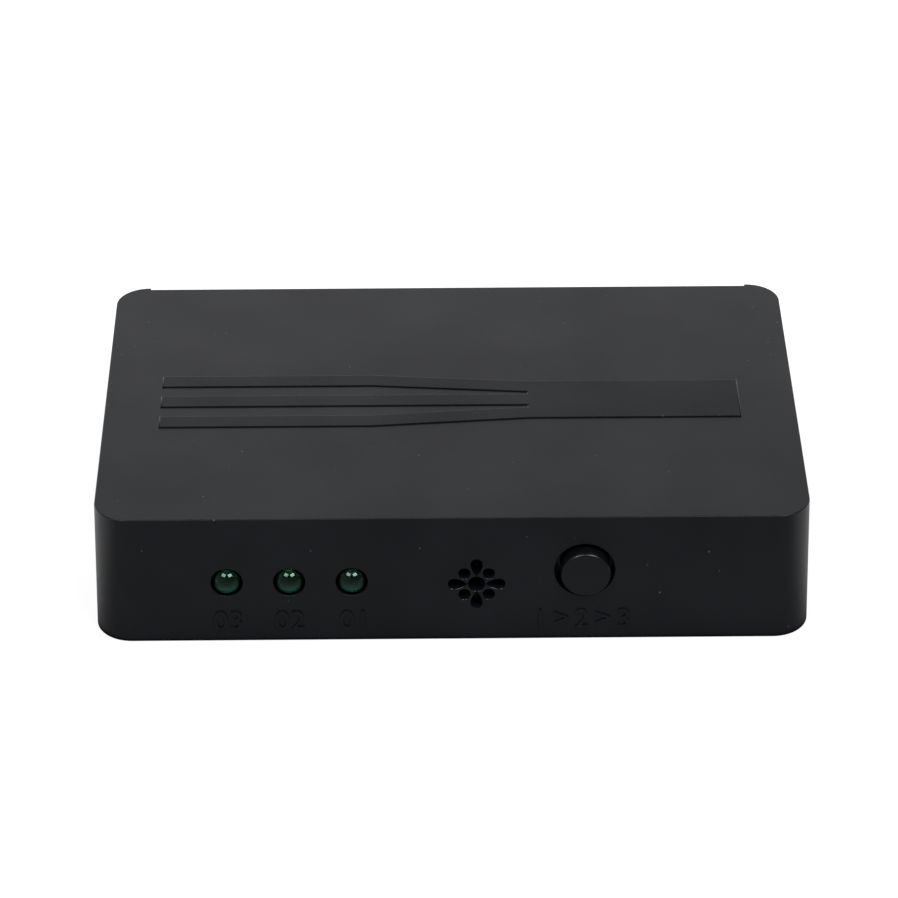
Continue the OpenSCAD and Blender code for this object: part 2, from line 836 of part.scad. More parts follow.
// Folded sheet shell of a socket, with a turned-out lip, legs and spring tongues
module socket_shell(i) {
  spring_back = socket_face - leg_setback - spring_l;
  color("#b9bcc0")
    difference() {
      union() {
        translate([socket_x(i), 0, mouth_z]) {
          along_y(socket_back, socket_face)
            difference() {
              mouth_outline(sheet);
              mouth_outline();
            }
          along_y(socket_face - lip_t, socket_face)
            difference() {
              mouth_outline(sheet + lip);
              mouth_outline();
            }
          along_y(socket_back, socket_back + sheet)
            mouth_outline(sheet / 2);
        }
        for (place = shell_leg_places(i))
          box(
            [place[0] - sheet / 2, place[1] - leg_w / 2, lead_foot],
            [place[0] + sheet / 2, place[1] + leg_w / 2, mouth_z + slope_h + leg_w]
          );
      }
      for (side = [-1, 1])
        translate([socket_x(i) + side * spring_x, spring_back, mouth_z + mouth_h - mouth_r / 2])
          linear_extrude(2 * sheet + mouth_r)
            difference() {
              translate([-spring_w / 2 - slit, 0])
                square([spring_w + 2 * slit, spring_l]);
              translate([-spring_w / 2, slit])
                square([spring_w, spring_l]);
            }
      box(
        [socket_x(i) - tongue_w / 2, socket_back - over, board_top - over],
        [socket_x(i) + tongue_w / 2, block_back + over, mouth_z + sheet]
      );
    }
}

// Strip bent along a path in the side view: in along the tongue, down behind the block and out to the foot
module contact_outline(low, high, tip) {
  foot_end = socket_back - foot_l;
  polygon([
    [tip, low],
    [tip, high],
    [block_back - contact_t, high],
    [block_back - contact_t, board_top + contact_t],
    [foot_end, board_top + contact_t],
    [foot_end, board_top],
    [block_back, board_top],
    [block_back, low]
  ]);
}

// Two rows of contacts, above the tongue and below it, half a step apart
module contacts(i) {
  tip = tongue_tip - contact_w;
  for (k = [0:contacts_n - 1])
    translate([socket_x(i) + (k - (contacts_n - 1) / 2) * contact_pitch, 0, 0])
      across_x(contact_w)
        contact_outline(tongue_top, tongue_top + contact_t, tip);
  for (k = [0:contacts_n - 2])
    translate([socket_x(i) + (k - (contacts_n - 2) / 2) * contact_pitch, 0, 0])
      across_x(contact_w)
        contact_outline(tongue_top - tongue_t - contact_t, tongue_top - tongue_t, tip);
}

module socket_contacts(i) {
  color("#d8b25a")
    contacts(i);
}

// Moulded block at the back of a socket with the tongue that carries the contacts
module socket_insulator(i) {
  bevel = tongue_t / 6;
  color("#17181a")
    difference() {
      union() {
        translate([socket_x(i), 0, mouth_z])
          along_y(block_back, block_back + block_l)
            mouth_outline();
        translate([socket_x(i), 0, tongue_top - tongue_t])
          across_x(tongue_w)
            polygon([
              [block_back + block_l / 2, 0],
              [tongue_tip - bevel, 0],
              [tongue_tip, bevel],
              [tongue_tip, tongue_t - bevel],
              [tongue_tip - bevel, tongue_t],
              [block_back + block_l / 2, tongue_t]
            ]);
      }
      contacts(i);
    }
}

// Indicator lamp's lens: domed in front, with a flange at the back that is flat on one side
module lamp_lens(i) {
  color("#1f6b3a")
    translate([lamp_place(i), lamp_back, lamp_z])
      rotate([90, 0, 0])
        difference() {
          rotate_extrude()
            intersection() {
              union() {
                square([lamp_flange_r, lamp_flange_t]);
                square([lamp_r, lamp_l]);
                translate([0, lamp_l])
                  circle(lamp_r);
              }
              square([lamp_flange_r, lamp_l + lamp_r]);
            }
          translate([lamp_r, -lamp_flange_r, -over])
            cube([lamp_flange_r, 2 * lamp_flange_r, lamp_flange_t + over]);
        }
}

// A lamp's two leads, bent down into the board
module lamp_leads(i) {
  color("#c4c6c8")
    for (place = lamp_lead_places(i))
      translate([place[0], 0, 0])
        across_x(lead_t)
          polygon([
            [lamp_back, lamp_z + lead_t / 2],
            [lamp_back + lead_reach, lamp_z + lead_t / 2],
            [lamp_back + lead_reach, lead_foot],
            [lamp_back + lead_reach - lead_t, lead_foot],
            [lamp_back + lead_reach - lead_t, lamp_z - lead_t / 2],
            [lamp_back, lamp_z - lead_t / 2]
          ]);
}

// Infrared receiver: a moulded block with a domed lens behind the vent
module ir_receiver() {
  eye_foot = board_top + eye_lift;
  dome_z = eye_foot + eye_dome_r;
  color("#141416") {
    box([eye_x - eye_w / 2, eye_front, eye_foot], [eye_x + eye_w / 2, eye_front + eye_d, eye_foot + eye_h]);
    translate([eye_x, eye_front + eye_d / 2, dome_z])
      rotate([90, 0, 0])
        rotate_extrude()
          intersection() {
            translate([0, eye_d / 2 + eye_dome_out - eye_dome_r])
              circle(eye_dome_r);
            square([eye_dome_r, eye_d / 2 + eye_dome_out]);
          }
  }
}

module ir_receiver_leads() {
  color("#c4c6c8")
    for (place = eye_lead_places)
      box(
        [place[0] - lead_t / 2, place[1] - lead_t / 2, lead_foot],
        [place[0] + lead_t / 2, place[1] + lead_t / 2, board_top + eye_lift]
      );
}

// Button cap with a captive flange behind the front wall and a socket for the plunger
module select_button() {
  socket_r = plunger_r + press_gap;
  color("#1d1e20")
    translate([button_x, flange_back, button_z])
      rotate([90, 0, 0])
        rotate_extrude()
          polygon(concat(
            [
              [0, button_socket_l],
              [socket_r, button_socket_l],
              [socket_r, 0],
              [button_flange_r, 0],
              [button_flange_r, button_flange_t],
              [button_r, button_flange_t]
            ],
            arc([button_r - button_edge, button_l - button_edge], button_edge, 0, 90),
            [[0, button_l]]
          ));
}

// Plunger of the tact switch, with a flange under the metal frame
module switch_plunger() {
  stem_l = plunger_shoulder - plunger_front;
  color("#2b2b2e")
    translate([button_x, plunger_back, button_z])
      rotate([90, 0, 0])
        rotate_extrude()
          polygon([
            [0, 0],
            [plunger_flange_r, 0],
            [plunger_flange_r, plunger_flange_t],
            [plunger_r, plunger_flange_t],
            [plunger_r, plunger_flange_t + stem_l],
            [0, plunger_flange_t + stem_l]
          ]);
}

// Metal frame that clasps the tact switch and stands in the board on two legs
module switch_frame() {
  outer = switch_w / 2 + sheet;
  color("#c2c4c6")
    difference() {
      union() {
        box(
          [button_x - outer, switch_face, switch_foot],
          [button_x + outer, switch_base_front, switch_foot + switch_w]
        );
        for (place = frame_leg_places) {
          box(
            [place[0] - sheet / 2, switch_face, button_z - plunger_r],
            [place[0] + sheet / 2, switch_base_back, button_z + plunger_r]
          );
          box(
            [place[0] - sheet / 2, place[1] - leg_w / 2, lead_foot],
            [place[0] + sheet / 2, place[1] + leg_w / 2, button_z]
          );
        }
      }
      translate([button_x, switch_base_front + over, button_z])
        rotate([90, 0, 0])
          cylinder(r = plunger_r + plunger_gap, h = sheet + 2 * over);
    }
}

// Moulded base of the tact switch with the chamber for the plunger's flange and the dome
module switch_base() {
  color("#1b1b1d")
    difference() {
      box(
        [button_x - switch_w / 2, switch_base_front, switch_foot],
        [button_x + switch_w / 2, switch_base_back, switch_foot + switch_w]
      );
      translate([button_x, dome_seat, button_z])
        rotate([90, 0, 0])
          cylinder(r = dome_r + plunger_gap, h = chamber_l + over);
    }
}

// Thin sprung dome that the plunger snaps through
module switch_dome() {
  sphere_r = (dome_r * dome_r + dome_h * dome_h) / (2 * dome_h);
  color("#cfcfca")
    translate([button_x, dome_seat, button_z])
      rotate([90, 0, 0])
        rotate_extrude()
          intersection() {
            translate([0, dome_h - sphere_r])
              difference() {
                circle(sphere_r);
                circle(sphere_r - dome_t);
              }
            square([dome_r, dome_h]);
          }
}

module switch_terminals() {
  color("#c4c6c8")
    for (place = terminal_places)
      box(
        [place[0] - terminal_w / 2, place[1] - sheet / 2, lead_foot],
        [place[0] + terminal_w / 2, place[1] + sheet / 2, switch_foot]
      );
}

// Power jack's housing: a block on the board with a round nose in the right wall
module jack_housing() {
  color("#19191b")
    difference() {
      union() {
        box(
          [jack_back, jack_y - jack_w / 2, board_top],
          [jack_body_front, jack_y + jack_w / 2, board_top + jack_h]
        );
        translate([jack_body_front - over, jack_y, jack_z])
          rotate([0, 90, 0])
            cylinder(r = jack_nose_r, h = jack_nose_l + over);
      }
      translate([jack_face - jack_bore_l, jack_y, jack_z])
        rotate([0, 90, 0])
          cylinder(r = jack_bore_r, h = jack_bore_l + over);
      translate([jack_back - over, jack_y, jack_z])
        rotate([0, 90, 0])
          cylinder(r = jack_tail_r + press_gap, h = jack_l);
      box(
        [jack_face - jack_bore_l - sheet, jack_y - jack_strip_w / 2 - lead_gap, board_top - over],
        [jack_face - jack_bore_l + jack_spring_l + sheet, jack_y + jack_strip_w / 2 + lead_gap, jack_z]
      );
    }
}

// Centre pin, seated on the floor of the bore, with its tail through the back of the housing
module jack_pin() {
  tail_l = jack_l - jack_bore_l;
  tip = jack_l - jack_pin_setback;
  color("#c9c9c6") {
    translate([jack_back, jack_y, jack_z])
      rotate([0, 90, 0])
        rotate_extrude()
          polygon([
            [0, -sheet / 2],
            [jack_tail_r, -sheet / 2],
            [jack_tail_r, tail_l],
            [jack_pin_r, tail_l],
            [jack_pin_r, tip - jack_pin_bevel],
            [jack_pin_r - jack_pin_bevel, tip],
            [0, tip]
          ]);
    box(
      [jack_back - sheet, jack_y - jack_strip_w / 2, lead_foot],
      [jack_back, jack_y + jack_strip_w / 2, jack_z + jack_pin_r]
    );
  }
}

// Spring strip under the bore that presses on the plug's sleeve
module jack_spring() {
  spring_back = jack_face - jack_bore_l;
  color("#cfc8b0") {
    box(
      [spring_back - sheet / 2, jack_y - jack_strip_w / 2, lead_foot],
      [spring_back + sheet / 2, jack_y + jack_strip_w / 2, jack_spring_top]
    );
    box(
      [spring_back - sheet / 2, jack_y - jack_strip_w / 2, jack_spring_top - sheet],
      [spring_back + jack_spring_l, jack_y + jack_strip_w / 2, jack_spring_top]
    );
  }
}

// Moulded chip body, narrower above than at its waist
module chip_body(place, length, width, height) {
  waist = height / 2;
  taper = height / 8;
  translate([place[0], place[1], board_top + chip_lift])
    intersection() {
      rotate(90)
        across_x(width)
          polygon([[-length / 2 + taper, 0], [length / 2 - taper, 0], [length / 2, waist],
            [length / 2 - taper, height], [taper - length / 2, height], [-length / 2, waist]]);
      across_x(length)
        polygon([[-width / 2 + taper, 0], [width / 2 - taper, 0], [width / 2, waist],
          [width / 2 - taper, height], [taper - width / 2, height], [-width / 2, waist]]);
    }
}

// Row of bent leads along one side of a chip, from the body's waist down to the board
module wing_row(place, turn, reach, height, n, pitch, width) {
  waist = chip_lift + height / 2;
  translate([place[0], place[1], board_top])
    rotate(turn)
      for (k = [0:n - 1])
        translate([(k - (n - 1) / 2) * pitch, 0, 0])
          across_x(width)
            polygon([
              [reach, waist - foil / 2],
              [reach, waist + foil / 2],
              [reach + wing / 2, waist + foil / 2],
              [reach + wing / 2, foil],
              [reach + wing, foil],
              [reach + wing, 0],
              [reach + wing / 2 - foil, 0],
              [reach + wing / 2 - foil, waist - foil / 2]
            ]);
}

module video_chip() {
  color("#1a1a1c")
    chip_body(chip_place, chip_w, chip_w, chip_h);
}

module video_chip_leads() {
  color("#c8cacc")
    for (turn = [0:90:270])
      wing_row(chip_place, turn, chip_w / 2, chip_h, chip_leads_n, chip_pitch, chip_pitch / 2);
}

module controller_chip() {
  color("#1a1a1c")
    chip_body(controller_place, controller_l, controller_w, controller_h);
}

module controller_leads() {
  color("#c8cacc")
    for (turn = [0, 180])
      wing_row(controller_place, turn, controller_w / 2, controller_h,
        4, controller_pitch, controller_lead_w);
}

module regulator() {
  color("#1a1a1c")
    chip_body(regulator_place, regulator_l, regulator_w, regulator_h);
}

module regulator_leads() {
  color("#c8cacc") {
    wing_row(regulator_place, 180, regulator_w / 2, regulator_h, 3, regulator_pitch, regulator_lead_w);
    wing_row(regulator_place, 0, regulator_w / 2, regulator_h, 1, regulator_pitch, regulator_tab_w);
  }
}

// Drawn metal can with round ends
module crystal() {
  color("#c0c2c4")
    translate([crystal_place[0], crystal_place[1], board_top])
      linear_extrude(crystal_h) {
        square([crystal_l - crystal_w, crystal_w], center = true);
        for (side = [-1, 1])
          translate([side * (crystal_l - crystal_w) / 2, 0])
            circle(crystal_w / 2);
      }
}

// Drawn aluminium cans with a rolled groove above their bases
module electrolytic_cans() {
  groove = can_r / 10;
  color("#b4b8bc")
    for (place = can_places)
      translate([place[0], place[1], board_top + can_base_t])
        rotate_extrude()
          polygon([
            [0, 0],
            [can_r - groove, 0],
            [can_r, groove],
            [can_r, 3 * groove],
            [can_r - groove, 4 * groove],
            [can_r, 5 * groove],
            [can_r, can_h - groove],
            [can_r - groove, can_h],
            [0, can_h]
          ]);
}

module can_bases() {
  half = can_r + can_base_t / 2;
  cut = can_r / 3;
  color("#1c1c1e")
    for (place = can_places)
      translate([place[0], place[1], board_top])
        linear_extrude(can_base_t)
          polygon([[-half, -half], [half, -half], [half, half - cut], [half - cut, half],
            [cut - half, half], [-half, half - cut]]);
}

// Small two-ended part on the board, its ends pointing along the depth
module tiny_part(place, height) {
  box(
    [place[0] - tiny_w / 2, place[1] - tiny_l / 2, board_top],
    [place[0] + tiny_w / 2, place[1] + tiny_l / 2, board_top + height]
  );
}

module chip_capacitors() {
  color("#a58a68")
    for (k = [0:capacitor_n - 1])
      tiny_part([chip_x + (k - (capacitor_n - 1) / 2) * capacitor_pitch, capacitor_y], capacitor_h);
}

module chip_resistors() {
  color("#202124")
    for (i = [0:socket_n - 1], offset_x = resistor_offsets)
      tiny_part([socket_x(i) + offset_x, row_y], resistor_h);
}

module diodes() {
  color("#1a1a1c")
    for (i = [0:socket_n - 1])
      box(
        [socket_x(i) - diode_l / 2, row_y - diode_w / 2, board_top],
        [socket_x(i) + diode_l / 2, row_y + diode_w / 2, board_top + diode_h]
      );
}

top_cover();
bottom_cover();
case_screws();
circuit_board();
board_screws();
for (i = [0:socket_n - 1]) {
  socket_shell(i);
  socket_insulator(i);
  socket_contacts(i);
}
for (i = [0:lamp_n - 1]) {
  lamp_lens(i);
  lamp_leads(i);
}
ir_receiver();
ir_receiver_leads();
select_button();
switch_plunger();
switch_frame();
switch_base();
switch_dome();
switch_terminals();
jack_housing();
jack_pin();
jack_spring();
video_chip();
video_chip_leads();
controller_chip();
controller_leads();
regulator();
regulator_leads();
crystal();
electrolytic_cans();
can_bases();
chip_capacitors();
chip_resistors();
diodes();
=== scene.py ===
from math import acos, asin, cos, degrees, pi, radians, sin, tan

import bmesh
import bpy
from mathutils import Matrix, Vector


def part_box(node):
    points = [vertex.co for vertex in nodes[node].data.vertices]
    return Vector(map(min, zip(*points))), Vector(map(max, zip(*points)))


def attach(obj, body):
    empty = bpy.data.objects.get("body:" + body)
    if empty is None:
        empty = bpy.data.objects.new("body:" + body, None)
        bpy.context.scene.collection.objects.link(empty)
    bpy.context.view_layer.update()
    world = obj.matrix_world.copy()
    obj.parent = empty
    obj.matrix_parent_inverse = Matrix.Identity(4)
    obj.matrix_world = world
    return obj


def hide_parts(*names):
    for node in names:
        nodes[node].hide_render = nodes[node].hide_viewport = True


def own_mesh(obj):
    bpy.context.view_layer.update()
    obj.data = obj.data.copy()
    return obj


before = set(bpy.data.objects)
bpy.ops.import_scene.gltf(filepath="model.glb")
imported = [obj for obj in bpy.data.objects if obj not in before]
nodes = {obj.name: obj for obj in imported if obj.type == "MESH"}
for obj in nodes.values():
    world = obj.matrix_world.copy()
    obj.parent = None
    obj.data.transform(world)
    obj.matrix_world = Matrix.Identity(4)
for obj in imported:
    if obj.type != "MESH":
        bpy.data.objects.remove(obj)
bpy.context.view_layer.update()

# Bottom cover
# A flat tray moulded in black ABS and let into the foot of the walls. Its posts carry the
# board, its collars take the case screws, and its sill closes the rear wall under the sockets.
mm = 0.001
weld = 0.001 * mm
tray_edge = 0.1 * mm


class Signal:
    """A socket of a node tree. Python's operators on signals add Math nodes."""

    def __init__(self, socket):
        self.socket = socket
        self.tree = socket.id_data

    def add(self, kind, settings, inputs, output=0):
        """Add a node of that type: its settings first, then the values or links of its sockets."""
        node = self.tree.nodes.new(kind)
        for name, value in settings.items():
            setattr(node, name, value)
        for name, values in inputs.items():
            for value in values if isinstance(values, list) else [values]:
                if isinstance(value, Signal):
                    self.tree.links.new(value.socket, node.inputs[name])
                else:
                    node.inputs[name].default_value = value
        return Signal(node.outputs[output])

    def beside(self, output):
        """Another output of the same node."""
        return Signal(self.socket.node.outputs[output])

    def maths(self, operation, *values):
        return self.add("ShaderNodeMath", {"operation": operation}, dict(enumerate(values)))

    def __add__(self, other):
        return self.maths("ADD", self, other)

    def __sub__(self, other):
        return self.maths("SUBTRACT", self, other)

    def __rsub__(self, other):
        return self.maths("SUBTRACT", other, self)

    def __mul__(self, other):
        return self.maths("MULTIPLY", self, other)

    def __truediv__(self, other):
        return self.maths("DIVIDE", self, other)

    def __lt__(self, other):
        return self.maths("LESS_THAN", self, other)

    def __gt__(self, other):
        return self.maths("GREATER_THAN", self, other)

    __radd__ = __add__
    __rmul__ = __mul__


def finish(name, constants):
    """New material with these constant settings, its shader and its Object coordinates."""
    material = bpy.data.materials.new(name)
    material.use_nodes = True
    shader = material.node_tree.nodes["Principled BSDF"]
    for socket, value in constants.items():
        shader.inputs[socket].default_value = value
    place = Signal(shader.outputs[0]).add("ShaderNodeTexCoord", {}, {}, "Object")
    return material, shader, place


def feed(shader, signals):
    """Link what changes over a surface to a shader's sockets, by name."""
    for socket, signal in signals.items():
        signal.tree.links.new(signal.socket, shader.inputs[socket])


def noise(place, size, detail=2.0):
    """Cloudy pattern between 0 and 1, with clouds of about that size."""
    return place.add("ShaderNodeTexNoise", {}, {
        "Vector": place, "Scale": 1 / size, "Detail": detail})


def specks(place, spacing, radius, share):
    """1 inside scattered specks: that share of the cells of that spacing holds one."""
    far = place.add("ShaderNodeTexVoronoi", {}, {
        "Vector": place, "Scale": 1 / spacing}, "Distance")
    lot = far.add("ShaderNodeSeparateColor", {}, {"Color": far.beside("Color")}, "Red")
    return (far < radius / spacing * lot / share) * (lot < share)


def tinted(factor, first, second):
    """From the first colour at 0 to the second at 1."""
    return factor.add("ShaderNodeMix", {"data_type": "RGBA"}, {0: factor, 6: first, 7: second}, 2)


def bump(height, depth, strength):
    """Fine relief of that depth, for a shader's Normal."""
    return height.add("ShaderNodeBump", {}, {
        "Height": height, "Distance": depth, "Strength": strength})


def case_plastic(name, roughness=0.33, specular=0.45, grain_depth=0.012 * mm):
    """Matt black ABS: a fine spark-eroded grain, clouds of faint sheen from handling, and dust."""
    deep_black = (0.002, 0.0028, 0.005, 1)
    handled_black = (0.0052, 0.0067, 0.0102, 1)
    dust_grey = (0.11, 0.11, 0.115, 1)
    material, shader, place = finish(name, {"Specular IOR Level": specular, "Coat Roughness": 0.33})
    cloud = noise(place, 11 * mm)
    grain = noise(place, 0.22 * mm, 3)
    dust = specks(place, spacing=1.2 * mm, radius=0.1 * mm, share=0.3)
    fluff = specks(place, spacing=4.5 * mm, radius=0.2 * mm, share=0.12) * noise(place, 0.08 * mm)
    base = tinted(cloud, deep_black, handled_black)
    feed(shader, {
        "Base Color": tinted(dust + 0.5 * fluff, base, dust_grey),
        "Roughness": roughness + 0.03 * (cloud - 0.5) + 0.14 * (grain - 0.5),
        "Coat Weight": 0.36 * cloud - 0.08,
        "Normal": bump(grain, grain_depth, 0.6),
    })
    return material


def placed(name, data):
    """New object in the scene, at the origin."""
    made = bpy.data.objects.new(name, data)
    bpy.context.scene.collection.objects.link(made)
    return made


def piece(name, verts, faces, material):
    """New object of this mesh, with its place in its mesh."""
    mesh = bpy.data.meshes.new(name)
    mesh.from_pydata(verts, [], faces)
    mesh.materials.append(material)
    return placed(name, mesh)


def plain_mesh(made):
    """New mesh of what an object shows, its modifiers included."""
    graph = bpy.context.evaluated_depsgraph_get()
    return bpy.data.meshes.new_from_object(made.evaluated_get(graph), depsgraph=graph)


def settle(made):
    """Turn the modifiers of a piece into its plain mesh."""
    mesh = plain_mesh(made)
    made.modifiers.clear()
    made.data = mesh
    mesh.name = made.name


def smoothed(made, sharp=35):
    """Smooth shading that keeps edges sharper than that angle, with flat faces left flat."""
    made.data.shade_smooth()
    made.data.set_sharp_from_angle(angle=radians(sharp))
    weighted = made.modifiers.new("weighted", "WEIGHTED_NORMAL")
    weighted.keep_sharp = True
    settle(made)


def softened(node, name, width, material):
    """Copy of a CAD solid with its edges rounded to that width."""
    flat = radians(0.5)
    crease = radians(40)
    shape = bmesh.new()
    shape.from_mesh(nodes[node].data)
    bmesh.ops.remove_doubles(shape, verts=shape.verts, dist=weld)
    bmesh.ops.dissolve_limit(shape, angle_limit=flat, verts=shape.verts, edges=shape.edges)
    shape.verts.index_update()
    verts = [vert.co.copy() for vert in shape.verts]
    faces = [[vert.index for vert in face.verts] for face in shape.faces]
    shape.free()
    made = piece(name, verts, faces, material)
    edges = made.modifiers.new("edges", "BEVEL")
    edges.width = width
    edges.segments = 2
    edges.limit_method = "ANGLE"
    edges.angle_limit = crease
    settle(made)
    smoothed(made, sharp=60)
    return made


def seat(made, body, slot, *replaced):
    """Fix a finished piece to the body that carries it, in place of these CAD nodes."""
    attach(made, body)
    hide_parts(*replaced)


tray_black = case_plastic("tray_black")
tray = softened("bottom_cover", "bottom_cover_moulding", tray_edge, tray_black)
seat(tray, "case", "case_black", "bottom_cover")


# Circuit board
# Glass fibre board with green solder mask over copper tracks, bare tan at its cut edges.
# It lies on the bottom cover's posts and carries everything electrical.
def dress(names, material):
    """Give CAD nodes a finish."""
    for name in names:
        for slot in nodes[name].material_slots:
            slot.material = material


def board_mask(name):
    """Solder mask on both faces, darker between the tracks, and bare fibre on the cut edges."""
    low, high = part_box("circuit_board")
    skin = 0.05 * mm
    track_field = 9 * mm
    mask_green, track_green = (0.006, 0.055, 0.022, 1), (0.012, 0.1, 0.04, 1)
    dark_fibre, pale_fibre = (0.1, 0.085, 0.035, 1), (0.16, 0.14, 0.065, 1)
    material, shader, place = finish(name, {"Specular IOR Level": 0.5})
    height = place.add("ShaderNodeSeparateXYZ", {}, {0: place}, "Z")
    face = (height > high.z - skin) + (height < low.z + skin)
    tracks = place.add("ShaderNodeTexBrick", {"offset": 0.4, "squash": 0.6}, {
        "Vector": place, "Scale": 1 / track_field, "Mortar Size": 0.035, "Mortar Smooth": 0.2,
        "Brick Width": 0.9, "Row Height": 0.16}, "Fac")
    fibre = noise(place, 0.35 * mm, 4)
    mask = tinted(tracks, mask_green, track_green)
    edge = tinted(fibre, dark_fibre, pale_fibre)
    feed(shader, {
        "Base Color": tinted(face, edge, mask),
        "Roughness": 0.62 - 0.3 * face + 0.1 * fibre,
        "Normal": bump(tracks * face, 0.03 * mm, 0.5),
    })
    return material


dress(["circuit_board"], board_mask("board_green"))


# Board screws
# Two short pan-head screws of zinc-plated steel, with a cross recess and a rolled thread.
# They bite in the bottom cover's posts and hold the board down.
head_r = 1.9 * mm
head_h = 1.2 * mm
head_crown = head_h / 3
head_burr = 0.06 * mm
core_r = 0.78 * mm
thread_r = 0.98 * mm
thread_pitch = 0.75 * mm
# The cross recess at three depths, from above its mouth down to its floor
recess_depth = (-0.1 * mm, 0.15 * mm, 0.8 * mm)
recess_reach = (1.15 * mm, 0.95 * mm, 0.45 * mm)
recess_half = (0.32 * mm, 0.27 * mm, 0.2 * mm)


def plated(name, colour, roughness, stretch=(1, 1, 1)):
    """Drawn or stamped metal with fine rolling marks and cloudy tarnish."""
    material, shader, place = finish(name, {"Metallic": 1.0})
    along = place.add("ShaderNodeMapping", {}, {"Vector": place, "Scale": stretch})
    marks = noise(along, 0.12 * mm, 3)
    tarnish = noise(place, 2.5 * mm, 3)
    dull = tuple(0.7 * c for c in colour) + (1,)
    feed(shader, {
        "Base Color": tinted(tarnish, dull, colour + (1,)),
        "Roughness": roughness + 0.12 * (tarnish - 0.5) + 0.12 * (marks - 0.5),
        "Normal": bump(marks, 0.004 * mm, 0.5),
    })
    return material


def arc(centre, radius, start, end, steps):
    """Points of an arc in a plane, by angles in degrees."""
    turns = [radians(start + (end - start) * k / steps) for k in range(steps + 1)]
    return [(centre[0] + radius * cos(a), centre[1] + radius * sin(a)) for a in turns]


def turned(profile, steps=64):
    """Rings of a turned shape about Z, from pairs of radius and height."""
    turns = [2 * pi * k / steps for k in range(steps)]
    return [[Vector((r * cos(a), r * sin(a), h)) for a in turns] for r, h in profile]


def closed_up(mesh, distance):
    """Merge the doubles of a mesh within that distance and turn its faces outwards."""
    shape = bmesh.new()
    shape.from_mesh(mesh)
    bmesh.ops.remove_doubles(shape, verts=shape.verts, dist=distance)
    bmesh.ops.recalc_face_normals(shape, faces=shape.faces)
    shape.to_mesh(mesh)
    shape.free()


def lofted(name, rings, material):
    """Closed skin over rings with equal numbers of points, capped at both ends."""
    count = len(rings[0])
    verts = [point for ring in rings for point in ring]
    faces = [range(count), range(len(verts) - count, len(verts))]
    for k in range(0, len(verts) - count, count):
        for i in range(count):
            j = (i + 1) % count
            faces.append((k + i, k + j, k + j + count, k + i + count))
    made = piece(name, verts, faces, material)
    closed_up(made.data, weld)
    return made


def combined(made, operation, others):
    """Join other solids to a piece, or cut them out of it, and use them up."""
    group = bpy.data.collections.new(operation)
    for other in others:
        group.objects.link(other)
    boolean = made.modifiers.new(operation, "BOOLEAN")
    boolean.operation = operation
    boolean.solver = "EXACT"
    boolean.material_mode = "TRANSFER"
    boolean.operand_type = "COLLECTION"
    boolean.collection = group
    settle(made)
    for other in others:
        bpy.data.objects.remove(other)
    bpy.data.collections.remove(group)


def grown(made, tree, sizes):
    """Run a Geometry Nodes tree on a piece, with its inputs by name, and keep the plain mesh."""
    modifier = made.modifiers.new(tree.name, "NODES")
    modifier.node_group = tree
    for item in tree.interface.items_tree:
        if item.name in sizes:
            modifier[item.identifier] = sizes[item.name]
    settle(made)


def begin_tree(name, inputs, output):
    """New Geometry Nodes tree with inputs of these types and one output: its first input."""
    tree = bpy.data.node_groups.new(name, "GeometryNodeTree")
    for title, kind in inputs.items():
        tree.interface.new_socket(title, in_out="INPUT", socket_type="NodeSocket" + kind)
    tree.interface.new_socket(output, in_out="OUTPUT", socket_type="NodeSocketGeometry")
    return Signal(tree.nodes.new("NodeGroupInput").outputs[0])


def end_tree(grown_shape, material):
    """End a tree in plain geometry of that material: the tree."""
    real = grown_shape.add("GeometryNodeRealizeInstances", {}, {"Geometry": grown_shape})
    done = real.add("GeometryNodeSetMaterial", {}, {"Geometry": real, "Material": material})
    done.tree.links.new(done.socket, done.tree.nodes.new("NodeGroupOutput").inputs[0])
    return done.tree


def cross_ring(reach, half, depth):
    """Outline of a cross recess at one depth, with arms of that reach and half width."""
    points = []
    for quarter in range(4):
        turn = Matrix.Rotation(quarter * pi / 2, 3, "Z")
        for x, y in ((half, reach), (-half, reach), (-half, half)):
            points.append(turn @ Vector((x, y, depth - head_h)))
    return points


def plain_screw(length, material):
    """A screw without its thread, head down, its shank standing on Z from the head's underside."""
    made = lofted("screw", turned(
        [(0, -head_h)]
        + arc((head_r - head_crown, head_crown - head_h), head_crown, 270, 360, 6)
        + arc((head_r - head_burr, -head_burr), head_burr, 0, 90, 2)
        + [(core_r, 0), (core_r, length - core_r), (core_r / 3, length)], steps=40), material)
    recess = lofted("recess", [
        cross_ring(*sizes) for sizes in zip(recess_reach, recess_half, recess_depth)], material)
    combined(made, "DIFFERENCE", [recess])
    return made


